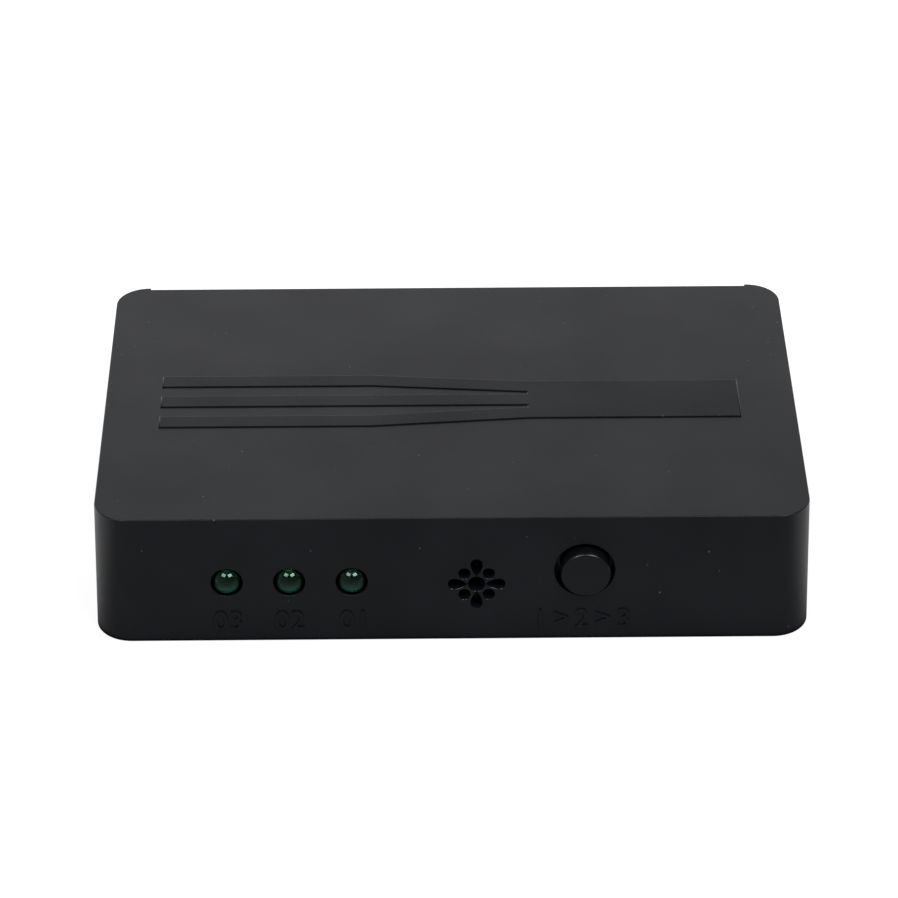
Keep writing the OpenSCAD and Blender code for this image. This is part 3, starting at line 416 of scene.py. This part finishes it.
def screw_tree():
    """Winds a thread on a screw and sets it on each place, turned by a chance angle."""
    start = begin_tree("screw set", {
        "Places": "Geometry", "Screw": "Object", "Length": "Float", "Thread radius": "Float",
        "Pitch": "Float", "Tilt": "Float", "Seed": "Int", "Material": "Material"}, "Screws")
    pitch = start.beside("Pitch")
    wound = start.beside("Length") - 2 * pitch
    ridge = 0.3 * pitch
    helix_r = start.beside("Thread radius") - ridge
    helix = start.add("GeometryNodeCurveSpiral", {}, {
        "Resolution": 20, "Rotations": wound / pitch, "Start Radius": helix_r,
        "End Radius": helix_r, "Height": wound})
    section = start.add("GeometryNodeCurvePrimitiveCircle", {}, {"Resolution": 4, "Radius": ridge})
    thread = start.add("GeometryNodeCurveToMesh", {}, {
        "Curve": helix, "Profile Curve": section, "Fill Caps": True})
    lift = start.add("ShaderNodeCombineXYZ", {}, {"Z": pitch})
    thread = start.add("GeometryNodeTransform", {}, {"Geometry": thread, "Translation": lift})
    screw = start.add("GeometryNodeObjectInfo", {}, {
        "Object": start.beside("Screw")}, "Geometry")
    whole = start.add("GeometryNodeJoinGeometry", {}, {0: [screw, thread]})
    chance = start.add("FunctionNodeRandomValue", {"data_type": "FLOAT"}, {
        "Max": 2 * pi, "Seed": start.beside("Seed")}, 1)
    turn = start.add("ShaderNodeCombineXYZ", {}, {"X": start.beside("Tilt"), "Z": chance})
    driven = start.add("GeometryNodeInstanceOnPoints", {}, {
        "Points": start, "Instance": whole, "Rotation": turn})
    return end_tree(driven, start.beside("Material"))


def screw_set(name, places, length, tilt, seed, material):
    """Screws with the underside of their heads on these places."""
    made = piece(name, places, [], material)
    screw = plain_screw(length, material)
    grown(made, screws_driven, {
        "Screw": screw, "Length": length, "Thread radius": thread_r, "Pitch": thread_pitch,
        "Tilt": tilt, "Seed": seed, "Material": material})
    bpy.data.objects.remove(screw)
    smoothed(made)
    return made


screws_driven = screw_tree()
pair_low, pair_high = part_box("board_screws")
pair_y = (pair_low.y + pair_high.y) / 2
pair_z = pair_high.z - head_h
pair_places = [(x, pair_y, pair_z) for x in (pair_low.x + head_r, pair_high.x - head_r)]
zinc = plated("screw_zinc", (0.6, 0.62, 0.64), 0.3)
board_screws = screw_set(
    "board_screw_pair", pair_places, pair_z - pair_low.z, tilt=pi, seed=3, material=zinc)
seat(board_screws, "case", "screw_zinc", "board_screws")


# Chips and small parts
# Moulded epoxy bodies with tinned legs, drawn metal cans and tiny ceramic blocks, all soldered
# on top of the board. Only a little of them shows through the openings.
def moulded(name, colour, roughness, specular=0.4):
    """Hard moulded plastic or epoxy with a fine grain and faint clouds."""
    material, shader, place = finish(name, {"Specular IOR Level": specular})
    cloud = noise(place, 3 * mm)
    fine = noise(place, 0.12 * mm, 3)
    dark = tuple(0.82 * c for c in colour) + (1,)
    feed(shader, {
        "Base Color": tinted(cloud, dark, colour + (1,)),
        "Roughness": roughness + 0.1 * (cloud - 0.5) + 0.1 * (fine - 0.5),
        "Normal": bump(fine, 0.008 * mm, 0.5),
    })
    return material


dress(["video_chip", "controller_chip", "regulator", "diodes", "chip_resistors", "can_bases"],
      moulded("chip_epoxy", (0.014, 0.014, 0.015), 0.5))
dress(["chip_capacitors"], moulded("capacitor_ceramic", (0.4, 0.28, 0.16), 0.55))
dress(["crystal", "electrolytic_cans"], plated("can_aluminium", (0.7, 0.71, 0.72), 0.3, (1, 1, 6)))
tinned = plated("tinned_lead", (0.66, 0.66, 0.65), 0.34)
dress([name for name in nodes if "_leads" in name] + ["switch_terminals"], tinned)

# Video sockets
# Folded and plated sheet shells with turned-out lips and spring tongues, a moulded insulator
# with its tongue, and two rows of gilded contacts in the tongue's grooves.
shell_edge = 0.06 * mm
insulator_edge = 0.04 * mm
shell_plate = plated("shell_plate", (0.62, 0.61, 0.58), 0.27, (1, 0.15, 1))
insulator_black = moulded("insulator_black", (0.012, 0.012, 0.0125), 0.42)
contact_gilt = plated("contact_gilt", (0.78, 0.52, 0.2), 0.25)
shells = [name for name in nodes if name.startswith("socket_shell_")]
sockets = [name.removeprefix("socket_shell_") for name in shells]
dress([f"socket_contacts_{socket}" for socket in sockets], contact_gilt)
for socket in sockets:
    shell = softened(f"socket_shell_{socket}", f"shell_{socket}", shell_edge, shell_plate)
    seat(shell, "case", "shell_steel", f"socket_shell_{socket}")
    insulator = softened(
        f"socket_insulator_{socket}", f"insulator_{socket}", insulator_edge, insulator_black)
    seat(insulator, "case", "socket_black", f"socket_insulator_{socket}")


# Indicator lamps
# Cast lenses of dark green epoxy, domed in front, with a flange behind that is flat on one side.
# They stand on bent leads in the front wall, in a narrow ring of shadow, partly painted on the
# lens.
def eased(value, start, end, first=0.0, last=1.0):
    """Smooth change of a level, from the first where a value starts to the last where it ends."""
    return value.add("ShaderNodeMapRange", {"interpolation_type": "SMOOTHSTEP"}, {
        "Value": value, "From Min": start, "From Max": end, "To Min": first, "To Max": last})


def lens_green(name, middle, radius, glow):
    """Clear dark green epoxy, with painted shade at its edge and up high, and painted glow low and
    at its upper rim.
    """
    deep, thin = (0.003, 0.055, 0.02, 1), (0.005, 0.085, 0.031, 1)
    painted_low_glow, painted_upper_shade = (0.05, 0.95, 0.6, 1), (0.004, 0.055, 0.021, 1)
    shadow, rim_light = (0.0005, 0.006, 0.003, 1), (0.12, 0.9, 0.2, 1)
    material, shader, place = finish(name, {
        "Transmission Weight": 0.88, "IOR": 1.56, "Specular IOR Level": 0.8,
        "Specular Tint": (0.84, 1.0, 0.92, 1)})
    haze = noise(place, 0.9 * mm)
    across = place.add("ShaderNodeVectorMath", {"operation": "SUBTRACT"}, {0: place, 1: middle})
    height = place.add("ShaderNodeSeparateXYZ", {}, {0: across}, "Z")
    side = height.beside("X")
    out = height.maths("SQRT", height * height + side * side)
    base = tinted(haze, deep, thin)
    # Painted light and shade: glow low in the dome, shade at the edge and over the upper half, glow
    # at the rim
    # Each band: what it follows, where it starts and ends in radii, its share and its colour
    for value, start, end, share, colour in (
            (height, 0.2, -0.55, 1.0, painted_low_glow),
            (out, 0.66, 0.9, 1.0, shadow),
            (height, 0.05, 0.7, 0.7, painted_upper_shade),
            (height, 0.84, 0.93, glow, rim_light)):
        band = eased(value, start * radius, end * radius, last=share)
        base = tinted(band, base, colour)
    feed(shader, {"Base Color": base, "Roughness": 0.04 + 0.08 * haze})
    return material


flange_t = 1 * mm
flange_edge = 0.08 * mm
# How strong the painted glow on each lamp's upper rim is
rim_glows = (0.35, 1.0, 0.25)
facing_front = Matrix.Rotation(radians(90), 4, "X")
lamps = sorted(name for name in nodes if name.startswith("lamp_lens_"))
lamp_places = []
for number, (lamp, glow) in enumerate(zip(lamps, rim_glows), 1):
    lens_low, lens_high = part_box(lamp)
    flange_r = (lens_high.z - lens_low.z) / 2
    lamp_x = lens_low.x + flange_r
    lamp_z = (lens_low.z + lens_high.z) / 2
    lamp_places.append((lamp_x, lamp_z))
    lens_r = lens_high.x - lamp_x
    body_l = lens_high.y - lens_low.y - lens_r
    middle = Vector((lamp_x, lens_high.y, lamp_z))
    lens_rings = turned(
        [(0, 0), (flange_r - flange_edge, 0)]
        + arc((flange_r - flange_edge, flange_t - flange_edge), flange_edge, 0, 90, 3)
        + [(lens_r, flange_t)]
        + arc((0, body_l), lens_r, 0, 90, 20)
    )
    for ring in lens_rings:
        for point in ring:
            point.x = min(point.x, lens_r)
    lamp_green = lens_green(f"lamp_green_{number}", middle, lens_r, glow)
    lens = lofted(f"lens_{number}", lens_rings, lamp_green)
    lens.data.transform(Matrix.Translation(middle) @ facing_front)
    smoothed(lens)
    seat(lens, "case", "lamp_green", lamp)

# Infrared receiver
# A block of dark epoxy, cast round its chip, with a domed lens on its face. It stands behind the
# vent on three tinned legs that are soldered to the board.
dress(["ir_receiver"], moulded("eye_epoxy", (0.004, 0.003, 0.0035), 0.5, 0.25))

# Push switch
# A common tact switch on its side: a plunger in a moulded base, clasped by a stamped frame, with
# a sprung dome between the plunger and the contacts.
dress(["switch_plunger", "switch_base"], moulded("switch_black", (0.014, 0.014, 0.015), 0.45))
switch_steel = plated("switch_steel", (0.6, 0.6, 0.59), 0.3)
dress(["switch_frame"], switch_steel)
dome_low, dome_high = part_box("switch_dome")
dome_h = dome_high.y - dome_low.y
dome_r = (dome_high.z - dome_low.z) / 2
dome_t = 0.08 * mm
bend_r = (dome_r ** 2 + dome_h ** 2) / (2 * dome_h)
bend_z = dome_h - bend_r
outer_end = degrees(acos(dome_r / bend_r))
inner_end = degrees(asin(-bend_z / (bend_r - dome_t)))
snap_dome = lofted("snap_dome", turned(
    arc((0, bend_z), bend_r - dome_t, 90, inner_end, 12)
    + arc((0, bend_z), bend_r, outer_end, 90, 12)), switch_steel)
dome_seat = Vector((
    (dome_low.x + dome_high.x) / 2, dome_high.y, (dome_low.z + dome_high.z) / 2))
snap_dome.data.transform(Matrix.Translation(dome_seat) @ facing_front)
smoothed(snap_dome)
seat(snap_dome, "case", "switch_steel", "switch_dome")
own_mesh(snap_dome)


# Select button
# A round cap moulded in the case's black, with a rounded front edge and a flange behind the wall
# that keeps it in. It is pushed onto the switch's plunger.
def grey(level):
    """Neutral colour of that level."""
    return (level, level, level, 1)


def button_plastic(name):
    """The case's plastic, polished a little more by fingers on its face."""
    deep_black, worn_black = (0.003, 0.0044, 0.0062, 1), (0.004, 0.0054, 0.0074, 1)
    material, shader, place = finish(name, {"Specular IOR Level": 0.5})
    cloud = noise(place, 2.5 * mm)
    grain = noise(place, 0.2 * mm, 3)
    dust = specks(place, spacing=1.6 * mm, radius=0.1 * mm, share=0.12)
    base = tinted(cloud, deep_black, worn_black)
    feed(shader, {
        "Base Color": tinted(dust, base, grey(0.1)),
        "Roughness": 0.3 + 0.1 * (cloud - 0.5) + 0.1 * (grain - 0.5),
        "Normal": bump(grain, 0.008 * mm, 0.5),
    })
    return material


button_low, button_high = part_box("select_button")
button_x = (button_low.x + button_high.x) / 2
button_z = (button_low.z + button_high.z) / 2
button_l = button_high.y - button_low.y
button_flange_r = (button_high.x - button_low.x) / 2
button_flange_t = 0.8 * mm
button_r = 2.5 * mm
button_edge = 0.25 * mm
play_right = 0.09 * mm
play_down = 0.03 * mm
plunger_low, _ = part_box("switch_plunger")
plunger_room = 0.02 * mm
plunger_hole_r = 1.72 * mm
plunger_hole_l = button_high.y - plunger_low.y + plunger_room
cap = lofted("select_cap", turned(
    [(0, plunger_hole_l), (plunger_hole_r, plunger_hole_l), (plunger_hole_r, 0)]
    + [(button_flange_r, 0), (button_flange_r, button_flange_t), (button_r, button_flange_t)]
    + arc((button_r - button_edge, button_l - button_edge), button_edge, 0, 90, 8)
    + [(0, button_l)], steps=96), button_plastic("button_black"))
cap_seat = (button_x + play_right, button_high.y, button_z - play_down)
cap.data.transform(Matrix.Translation(cap_seat) @ facing_front)
smoothed(cap)
seat(cap, "button", "button_black", "select_button")

# Power jack
# A moulded block with a round nose in the right wall and a plated pin on the middle of its bore.
# A sprung bronze strip lies under the bore. All of it is soldered to the board.
jack_edge = 0.1 * mm
pin_edge = 0.05 * mm
jack_black = moulded("jack_black", (0.012, 0.012, 0.013), 0.4)
jack = softened("jack_housing", "jack_moulding", jack_edge, jack_black)
seat(jack, "case", "socket_black", "jack_housing")
jack_plate = plated("jack_plate", (0.64, 0.64, 0.62), 0.24)
pin = softened("jack_pin", "jack_centre_pin", pin_edge, jack_plate)
seat(pin, "case", "jack_metal", "jack_pin")
dress(["jack_spring"], plated("jack_bronze", (0.62, 0.55, 0.4), 0.3))


# Top cover
# Roof and four drafted walls in one black moulding, open below, with bosses for the case screws.
# The rear wall has windows for the sockets, the front wall holes for lamps, eye and button.
_, cover_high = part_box("top_cover")
half_w = cover_high.x
half_d = cover_high.y
relief_h = 0.1 * mm
case_h = cover_high.z - relief_h
draft = radians(1.1)
corner_r = 3.7 * mm
corner_steps = 20
edge_r = 0.1 * mm
foot_r = 0.25 * mm
wall = 1.8 * mm
roof_t = 1.6 * mm
lap = 0.9 * mm
plate_t = 1.6 * mm
panel_x = 32.2 * mm
panel_depth = 0.3 * mm


def lean(z):
    """How far a wall leans in at that height."""
    return z * tan(draft)


def shell_ring(inset, z, step=0):
    """Rounded rectangle inside the foot's outline, with a step between the rear corners."""
    reach = corner_r - inset
    points = []
    for quarter, (x, y) in enumerate(((1, -1), (1, 1), (-1, 1), (-1, -1))):
        centre = (x * (half_w - corner_r), y * (half_d - corner_r))
        points += arc(centre, reach, 90 * quarter - 90, 90 * quarter, corner_steps)
        if quarter == 1:
            rear = half_d - inset
            points += [(panel_x, rear), (panel_x, rear - step)]
            points += [(-panel_x, rear - step), (-panel_x, rear)]
    return [Vector((x, y, z)) for x, y in points]


ceiling = case_h - roof_t
shoulder = case_h - edge_r
shell_rings = [
    shell_ring(wall + lean(ceiling), ceiling),
    shell_ring(wall + lean(plate_t), plate_t),
    shell_ring(lap + lean(plate_t), plate_t),
    shell_ring(lap, 0),
]
shell_rings += [
    shell_ring(inset + foot_r, z + foot_r, panel_depth)
    for inset, z in arc((0, 0), foot_r, 270, 180, 4)
]
shell_rings += [
    shell_ring(lean(shoulder) + edge_r - inset, shoulder + z, panel_depth)
    for inset, z in arc((0, 0), edge_r, 0, 90, 5)
]
case_black = case_plastic("case_black")
cover = lofted("top_cover_moulding", shell_rings, case_black)

# Bosses under the roof take the case screws. Cutters run a little past the faces that they cut.
past = 1 * mm
screw_low, screw_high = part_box("case_screws")
boss_r = 3 * mm
boss_foot = 2.6 * mm
boss_top = case_h - roof_t / 2
pilot_r = 1.03 * mm
pilot_top = screw_high.z + past
boss_places = [
    (x, y)
    for x in (screw_low.x + head_r, screw_high.x - head_r)
    for y in (screw_low.y + head_r, screw_high.y - head_r)
]
added = []
cut = []
for x, y in boss_places:
    boss = lofted("boss", turned([(boss_r, boss_foot), (boss_r, boss_top)], steps=48), case_black)
    boss.data.transform(Matrix.Translation((x, y, 0)))
    added.append(boss)
    pilot = lofted("pilot", turned([(pilot_r, 0), (pilot_r, pilot_top)], steps=32), case_black)
    pilot.data.transform(Matrix.Translation((x, y, 0)))
    cut.append(pilot)

# Raised figure on the roof: three lanes that come together in one bar
figure_far = half_w - 6 * mm
figure_near = 8 * mm
figure_y = -0.7 * mm
lane_w = 2.2 * mm
lane_pitch = 4 * mm
merge_pitch = 2.6 * mm
figure_rise = 0.06 * mm
figure_slope = 0.14 * mm


def figure_ring(shrink, z):
    """Outline of the figure at one height, shrunk on all sides."""
    half = lane_w / 2 - shrink
    far = figure_far - shrink
    near = figure_near + shrink
    points = [(far, -merge_pitch - half), (far, merge_pitch + half)]
    for lane in (1, 0, -1):
        wide = lane * lane_pitch
        tight = lane * merge_pitch
        points += [(near, tight + half), (-near, wide + half), (-far, wide + half)]
        points += [(-far, wide - half), (-near, wide - half), (near, tight - half)]
    return [Vector((x, figure_y + y, z)) for x, y in points]


figure_top = case_h + relief_h
figure_polish = case_plastic("figure_polish", roughness=0.3, specular=0.28, grain_depth=0.004 * mm)
added.append(lofted("figure", [
    figure_ring(0, boss_top),
    figure_ring(0, figure_top - figure_rise),
    figure_ring(0.6 * figure_slope, figure_top - 0.15 * figure_rise),
    figure_ring(figure_slope, figure_top),
], figure_polish))


# Holes in the front wall, each with a softened rim
def on_front(x, z):
    """From a drawing in XY, with Z outwards, to a place on the front wall."""
    upright = Matrix.Rotation(radians(90) - draft, 4, "X")
    return Matrix.Translation((x, lean(z) - half_d, z)) @ upright


def rim_profile(radius, rim):
    """Pairs of radius and height for a hole from inside the wall outwards, its rim rounded."""
    return (
        [(radius, -wall - past)]
        + arc((radius + rim, -rim), rim, 180, 105, 5)
        + [(radius + 1.2 * rim, past)]
    )


lamp_hole_r = 1.6 * mm
button_hole_r = 3 * mm
lamp_rim = 0.06 * mm
button_rim = 0.1 * mm
for x, z in lamp_places:
    lamp_hole = lofted("lamp_hole", turned(rim_profile(lamp_hole_r, lamp_rim)), case_black)
    lamp_hole.data.transform(on_front(x, z))
    cut.append(lamp_hole)
button_profile = rim_profile(button_hole_r, button_rim)
button_hole = lofted("button_hole", turned(button_profile, steps=96), case_black)
button_hole.data.transform(on_front(button_x, button_z))
cut.append(button_hole)

# Vent over the infrared receiver: a middle hole, and a petal and a small hole turned four times
eye_low, eye_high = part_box("ir_receiver")
eye_x = (eye_low.x + eye_high.x) / 2
eye_z = 6.63 * mm
vent_r = 0.84 * mm
pip_r = 0.6 * mm
pip_reach = 1.725 * mm
petal_r = 0.58 * mm
petal_start = 0.95 * mm
petal_end = 2.87 * mm
petal_steps = 12
petal_bulge = 0.8
vent_turns = 4
vent_rim = 0.07 * mm
vent_depth = wall + past


def vent_tree():
    """Turns flat holes about the middle, adds a round one, and sinks them with a flared rim."""
    start = begin_tree("vent holes", {
        "Holes": "Geometry", "Turns": "Int", "Middle radius": "Float", "Depth": "Float",
        "Rim": "Float", "Material": "Material"}, "Cutter")
    turns = start.beside("Turns")
    rim = start.beside("Rim")
    spots = start.add("GeometryNodeMeshLine", {}, {"Count": turns, "Offset": (0, 0, 0)})
    angle = start.add("GeometryNodeInputIndex", {}, {}) * (2 * pi) / turns
    turn = start.add("ShaderNodeCombineXYZ", {}, {"Z": angle})
    around = start.add("GeometryNodeInstanceOnPoints", {}, {
        "Points": spots, "Instance": start, "Rotation": turn})
    around = start.add("GeometryNodeRealizeInstances", {}, {"Geometry": around})
    circle = start.add("GeometryNodeCurvePrimitiveCircle", {}, {
        "Resolution": 40, "Radius": start.beside("Middle radius")})
    middle = start.add("GeometryNodeFillCurve", {"mode": "NGONS"}, {"Curve": circle})
    flat = start.add("GeometryNodeJoinGeometry", {}, {0: [around, middle]})
    back = start.add("GeometryNodeFlipFaces", {}, {"Mesh": flat})
    size = start.maths("SQRT", start.add("GeometryNodeInputMeshFaceArea", {}, {}) / pi)
    sunk = flat
    top = True
    flare = ((0.6 * rim, 0.2), (0.4 * rim, 0.5), (4 * rim, 0.3))
    for rise, spread in ((start.beside("Depth") - rim, 0), *flare):
        raised = start.add("GeometryNodeExtrudeMesh", {"mode": "FACES"}, {
            "Mesh": sunk, "Selection": top, "Offset Scale": rise, "Individual": False})
        top = raised.beside("Top")
        sunk = raised
        if spread:
            sunk = start.add("GeometryNodeScaleElements", {"domain": "FACE"}, {
                "Geometry": raised, "Selection": top, "Scale": 1 + spread * rim / size})
    closed = start.add("GeometryNodeJoinGeometry", {}, {0: [sunk, back]})
    welded = start.add("GeometryNodeMergeByDistance", {}, {
        "Geometry": closed, "Distance": weld / 2})
    return end_tree(welded, start.beside("Material"))


petal_x = petal_end - petal_r
petal_l = petal_x - petal_start
petal = arc((petal_x, 0), petal_r, -90, 90, 16)
for step in range(1 - petal_steps, petal_steps):
    along = abs(step) / petal_steps
    aside = petal_r * sin(along * pi / 2) ** petal_bulge
    petal.append((petal_start + along * petal_l, -aside if step > 0 else aside))
pip = arc((pip_reach * cos(pi / 4), pip_reach * sin(pi / 4)), pip_r, 0, 345, 23)
outlines = [Vector((x, y, 0)) for x, y in petal + pip]
flat_holes = [range(len(petal)), range(len(petal), len(outlines))]
hole_polish = case_plastic("hole_polish", roughness=0.16)
vent = piece("vent", outlines, flat_holes, hole_polish)
grown(vent, vent_tree(), {
    "Turns": vent_turns, "Middle radius": vent_r, "Depth": vent_depth, "Rim": vent_rim,
    "Material": hole_polish})
vent.data.transform(on_front(eye_x, eye_z) @ Matrix.Translation((0, 0, -vent_depth)))
cut.append(vent)

# Windows for the sockets in the rear wall, open downwards so that the cover drops over them
mouth_w = 14 * mm
mouth_h = 4.55 * mm
slope_w = 1.7 * mm
slope_h = 1.9 * mm
mouth_r = 0.4 * mm
window_grow = 0.6 * mm
window_rim = 0.1 * mm
mouth_z = 4.7 * mm
row_w = 63.8 * mm
sill_top = mouth_z + slope_h - window_grow


def mouth_ring(x, y, grow):
    """Outline of a socket's mouth, wide above and sloped in below, grown outwards."""
    side = mouth_w / 2 + grow
    foot = side - slope_w
    high = mouth_h + grow
    r = mouth_r + grow
    points = [(-foot, -grow), (foot, -grow), (side, slope_h - grow)]
    points += arc((side - r, high - r), r, 0, 90, 8) + arc((r - side, high - r), r, 90, 180, 8)
    points.append((-side, slope_h - grow))
    return [Vector((x + px, y, mouth_z + pz)) for px, pz in points]


def block(name, low, high):
    """Plain box for cutting."""
    xs = (low[0], high[0], high[0], low[0])
    ys = (low[1], low[1], high[1], high[1])
    rings = [[Vector((x, y, z)) for x, y in zip(xs, ys)] for z in (low[2], high[2])]
    return lofted(name, rings, case_black)


step_y = half_d - panel_depth - lean(mouth_z + mouth_h / 2)
inner_y = half_d - wall - past
for socket in sockets:
    shell_low, shell_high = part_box(f"socket_shell_{socket}")
    socket_x = (shell_low.x + shell_high.x) / 2
    cut.append(lofted("window", [
        mouth_ring(socket_x, inner_y, window_grow),
        mouth_ring(socket_x, step_y - window_rim, window_grow),
        mouth_ring(socket_x, step_y - window_rim / 3, window_grow + window_rim / 3),
        mouth_ring(socket_x, step_y + past, window_grow + 2 * window_rim),
    ], case_black))
cut.append(block(
    "sill_room", (-row_w / 2, inner_y, -past), (row_w / 2, half_d + past, sill_top)))

# Slot for the jack's nose in the right wall, round above and square below
jack_low, jack_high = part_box("jack_housing")
jack_y = (jack_low.y + jack_high.y) / 2
jack_z = (jack_low.z + jack_high.z) / 2
nose_r = 2.85 * mm
slot_w = 7.3 * mm
nose_place = Matrix.Translation((half_w - lean(jack_z), jack_y, jack_z))
nose = lofted("nose_room", turned(rim_profile(nose_r, window_rim)), case_black)
nose.data.transform(nose_place @ Matrix.Rotation(radians(90) - draft, 4, "Y"))
cut.append(nose)
cut.append(block(
    "nose_slot",
    (half_w - wall - past, jack_y - slot_w / 2, -past),
    (half_w + past, jack_y + slot_w / 2, jack_z)))

# Plain digits under the lamps and button, raised from the wall
sign_h = 0.2 * mm
sign_z = 1.45 * mm
sign_size = 2.2 * mm
wide_spacing = 1.25
font_weld = 1e-4


def raised_sign(text, x, spacing=1.0):
    """Digits of the built-in font as a thin solid on the front wall."""
    curve = bpy.data.curves.new("sign", "FONT")
    curve.body = text
    curve.align_x = "CENTER"
    curve.space_character = spacing
    curve.extrude = 1
    written = placed("sign", curve)
    mesh = plain_mesh(written)
    bpy.data.objects.remove(written)
    closed_up(mesh, font_weld)
    xs = [vert.co.x for vert in mesh.vertices]
    ys = [vert.co.y for vert in mesh.vertices]
    scale = sign_size / (max(ys) - min(ys))
    centred = Matrix.Translation((-(max(xs) + min(xs)) / 2, 0, 0))
    mesh.transform(on_front(x, sign_z) @ Matrix.Diagonal((scale, scale, sign_h, 1)) @ centred)
    return placed("sign", mesh)


for digits, (x, _) in zip(("03", "02", "01"), lamp_places):
    added.append(raised_sign(digits, x))
added.append(raised_sign("1>2>3", button_x, wide_spacing))

combined(cover, "UNION", added)
combined(cover, "DIFFERENCE", cut)
smoothed(cover, sharp=32)
seat(cover, "case", "case_black", "top_cover")

# Case screws
# Four longer screws of the same make, blackened. They go up through the bottom cover's collars and
# bite in the top cover's bosses, with their heads sunk in the bottom face.
blackened = plated("screw_black", (0.05, 0.05, 0.055), 0.36)
screw_places = [(x, y, screw_low.z + head_h) for x, y in boss_places]
screw_l = screw_high.z - screw_low.z - head_h
case_screws = screw_set(
    "case_screw_set", screw_places, screw_l, tilt=0, seed=5, material=blackened)
seat(case_screws, "case", "screw_black", "case_screws")

# Studio
# A pale floor and a plain white surround, lit by two soft boxes overhead. The camera stands where
# the photograph was taken, a little above the box and straight in front of it.
floor_half = 4.0
floor_z = -0.02 * mm
floor_glow = 0.86
front_level = 0.312
rear_level = 0.5
contact_shadow_level = 0.02
contact_shadow_w = 0.6 * mm
side_reach = 0.06
# Where each change of the floor starts and ends in depth, then its share or its level
pale_steps = ((0.01, 0.034, 0.38), (0.042, 0.075, 0.62))
front_shades = ((-0.0315, -0.0225, 0.23), (-0.037, -0.05, 0.235))
floor_white, floor_shader, floor_place = finish("floor_white", {
    "Roughness": 0.9, "Specular IOR Level": 0.0, "Emission Strength": floor_glow})
floor_corners = [(-1, -1), (1, -1), (1, 1), (-1, 1)]
floor = piece(
    "floor", [(x * floor_half, y * floor_half, floor_z) for x, y in floor_corners], [(0, 1, 2, 3)],
    floor_white)

# Painted light: the floor gets paler from the box backwards and to both sides, in two steps, and
# glows there in reflections
depth = floor_place.add("ShaderNodeSeparateXYZ", {}, {0: floor_place}, "Y")
beside_box = depth.maths("MINIMUM", depth.maths("ABSOLUTE", depth.beside("X")), side_reach)
near_pale, far_pale = (
    eased(depth + beside_box, start, end, last=share)
    for start, end, share in pale_steps)
paler = near_pale + far_pale

# Painted shade: a little darker before the box, and a painted contact shadow in the narrow gap
# under the rounded foot
front_painted_grey = grey(front_level)
for start, end, level in front_shades:
    front_painted_grey = tinted(eased(depth, start, end), front_painted_grey, grey(level))
out_x, out_y = (
    depth.maths("MAXIMUM", depth.maths("ABSOLUTE", depth.beside(axis)) - (half - corner_r), 0.0)
    for axis, half in (("X", half_w), ("Y", half_d)))
from_foot = depth.maths("SQRT", out_x * out_x + out_y * out_y) - corner_r
seen = floor_place.add("ShaderNodeLightPath", {}, {}, "Is Camera Ray")
painted_contact_shadow = (from_foot < contact_shadow_w) * (1 - seen)
front_painted_grey = tinted(painted_contact_shadow, front_painted_grey, grey(contact_shadow_level))
mirrored = (seen.beside("Is Glossy Ray") + seen.beside("Is Transmission Ray")) * paler
feed(floor_shader, {
    "Base Color": tinted(paler, front_painted_grey, grey(rear_level)),
    "Emission Color": tinted(seen.maths("MAXIMUM", seen, mirrored), grey(0.0), grey(1.0)),
})

# The surround is white to the camera. Its light is strong from behind, weak from the front and
# from above, and a little stronger on the left.
rear_glow = 0.86
front_glow = 0.1
low_gain = 1.3
high_gain = 0.06
left_gain = 0.5
scene = bpy.context.scene
scene.view_settings.view_transform = "Standard"
world = bpy.data.worlds.new("studio")
scene.world = world
world.use_nodes = True
sky = world.node_tree.nodes["Background"]
sky.inputs["Color"].default_value = grey(1.0)
path = Signal(sky.outputs[0]).add("ShaderNodeLightPath", {}, {}, "Is Camera Ray")
direction = path.add("ShaderNodeTexCoord", {}, {}, "Generated")
behind = direction.add("ShaderNodeSeparateXYZ", {}, {0: direction}, "Y")
backdrop = eased(behind, -0.15, 0.45, first=front_glow, last=rear_glow)
fading = behind.add("ShaderNodeMapRange", {}, {
    "Value": behind.beside("Z"), "From Min": 0.37, "From Max": 0.6,
    "To Min": low_gain, "To Max": high_gain})
from_left = 1 - left_gain * behind.beside("X")
feed(sky, {"Strength": path.maths("MAXIMUM", path, backdrop * fading * from_left)})

# The soft boxes hang in front on both sides, and the right one is a little stronger
box_size = (0.38, 0.27)
box_x = 0.285
box_y = -0.36
box_z = 0.56
left_power = 2.0
right_power = 2.8
for side, box_power in ((-1, left_power), (1, right_power)):
    light = bpy.data.lights.new("soft_box", "AREA")
    light.shape = "RECTANGLE"
    light.size, light.size_y = box_size
    light.energy = box_power
    soft_box = placed("soft_box", light)
    spot = Vector((side * box_x, box_y, box_z))
    aimed = spot.to_track_quat("Z", "Y").to_matrix().to_4x4()
    soft_box.matrix_world = Matrix.Translation(spot) @ aimed

# The camera's place and aim, fitted to the edges and holes of the box in the photograph
image_w = 898
focal_px = 4160.8
camera_far = 0.43976
camera_up = radians(32.791)
camera_side = radians(-0.545)
look_up = camera_up - radians(0.887)
look_side = camera_side + radians(0.018)
roll = radians(0.139)


def direction_to(up, side):
    """Unit vector from the box, by angles above the floor and to the right of the front."""
    return Vector((sin(side) * cos(up), -cos(side) * cos(up), sin(up)))


camera_data = bpy.data.cameras.new("camera")
camera_data.sensor_fit = "HORIZONTAL"
camera_data.lens = focal_px * camera_data.sensor_width / image_w
camera_data.clip_start = 0.01
camera = placed("camera", camera_data)
back = direction_to(look_up, look_side)
right = Vector((cos(look_side), sin(look_side), 0))
upward = back.cross(right)
camera_turn = Matrix((right, upward, back)).transposed() @ Matrix.Rotation(-roll, 3, "Z")
camera_spot = camera_far * direction_to(camera_up, camera_side)
camera.matrix_world = Matrix.Translation(camera_spot) @ camera_turn.to_4x4()
scene.camera = camera
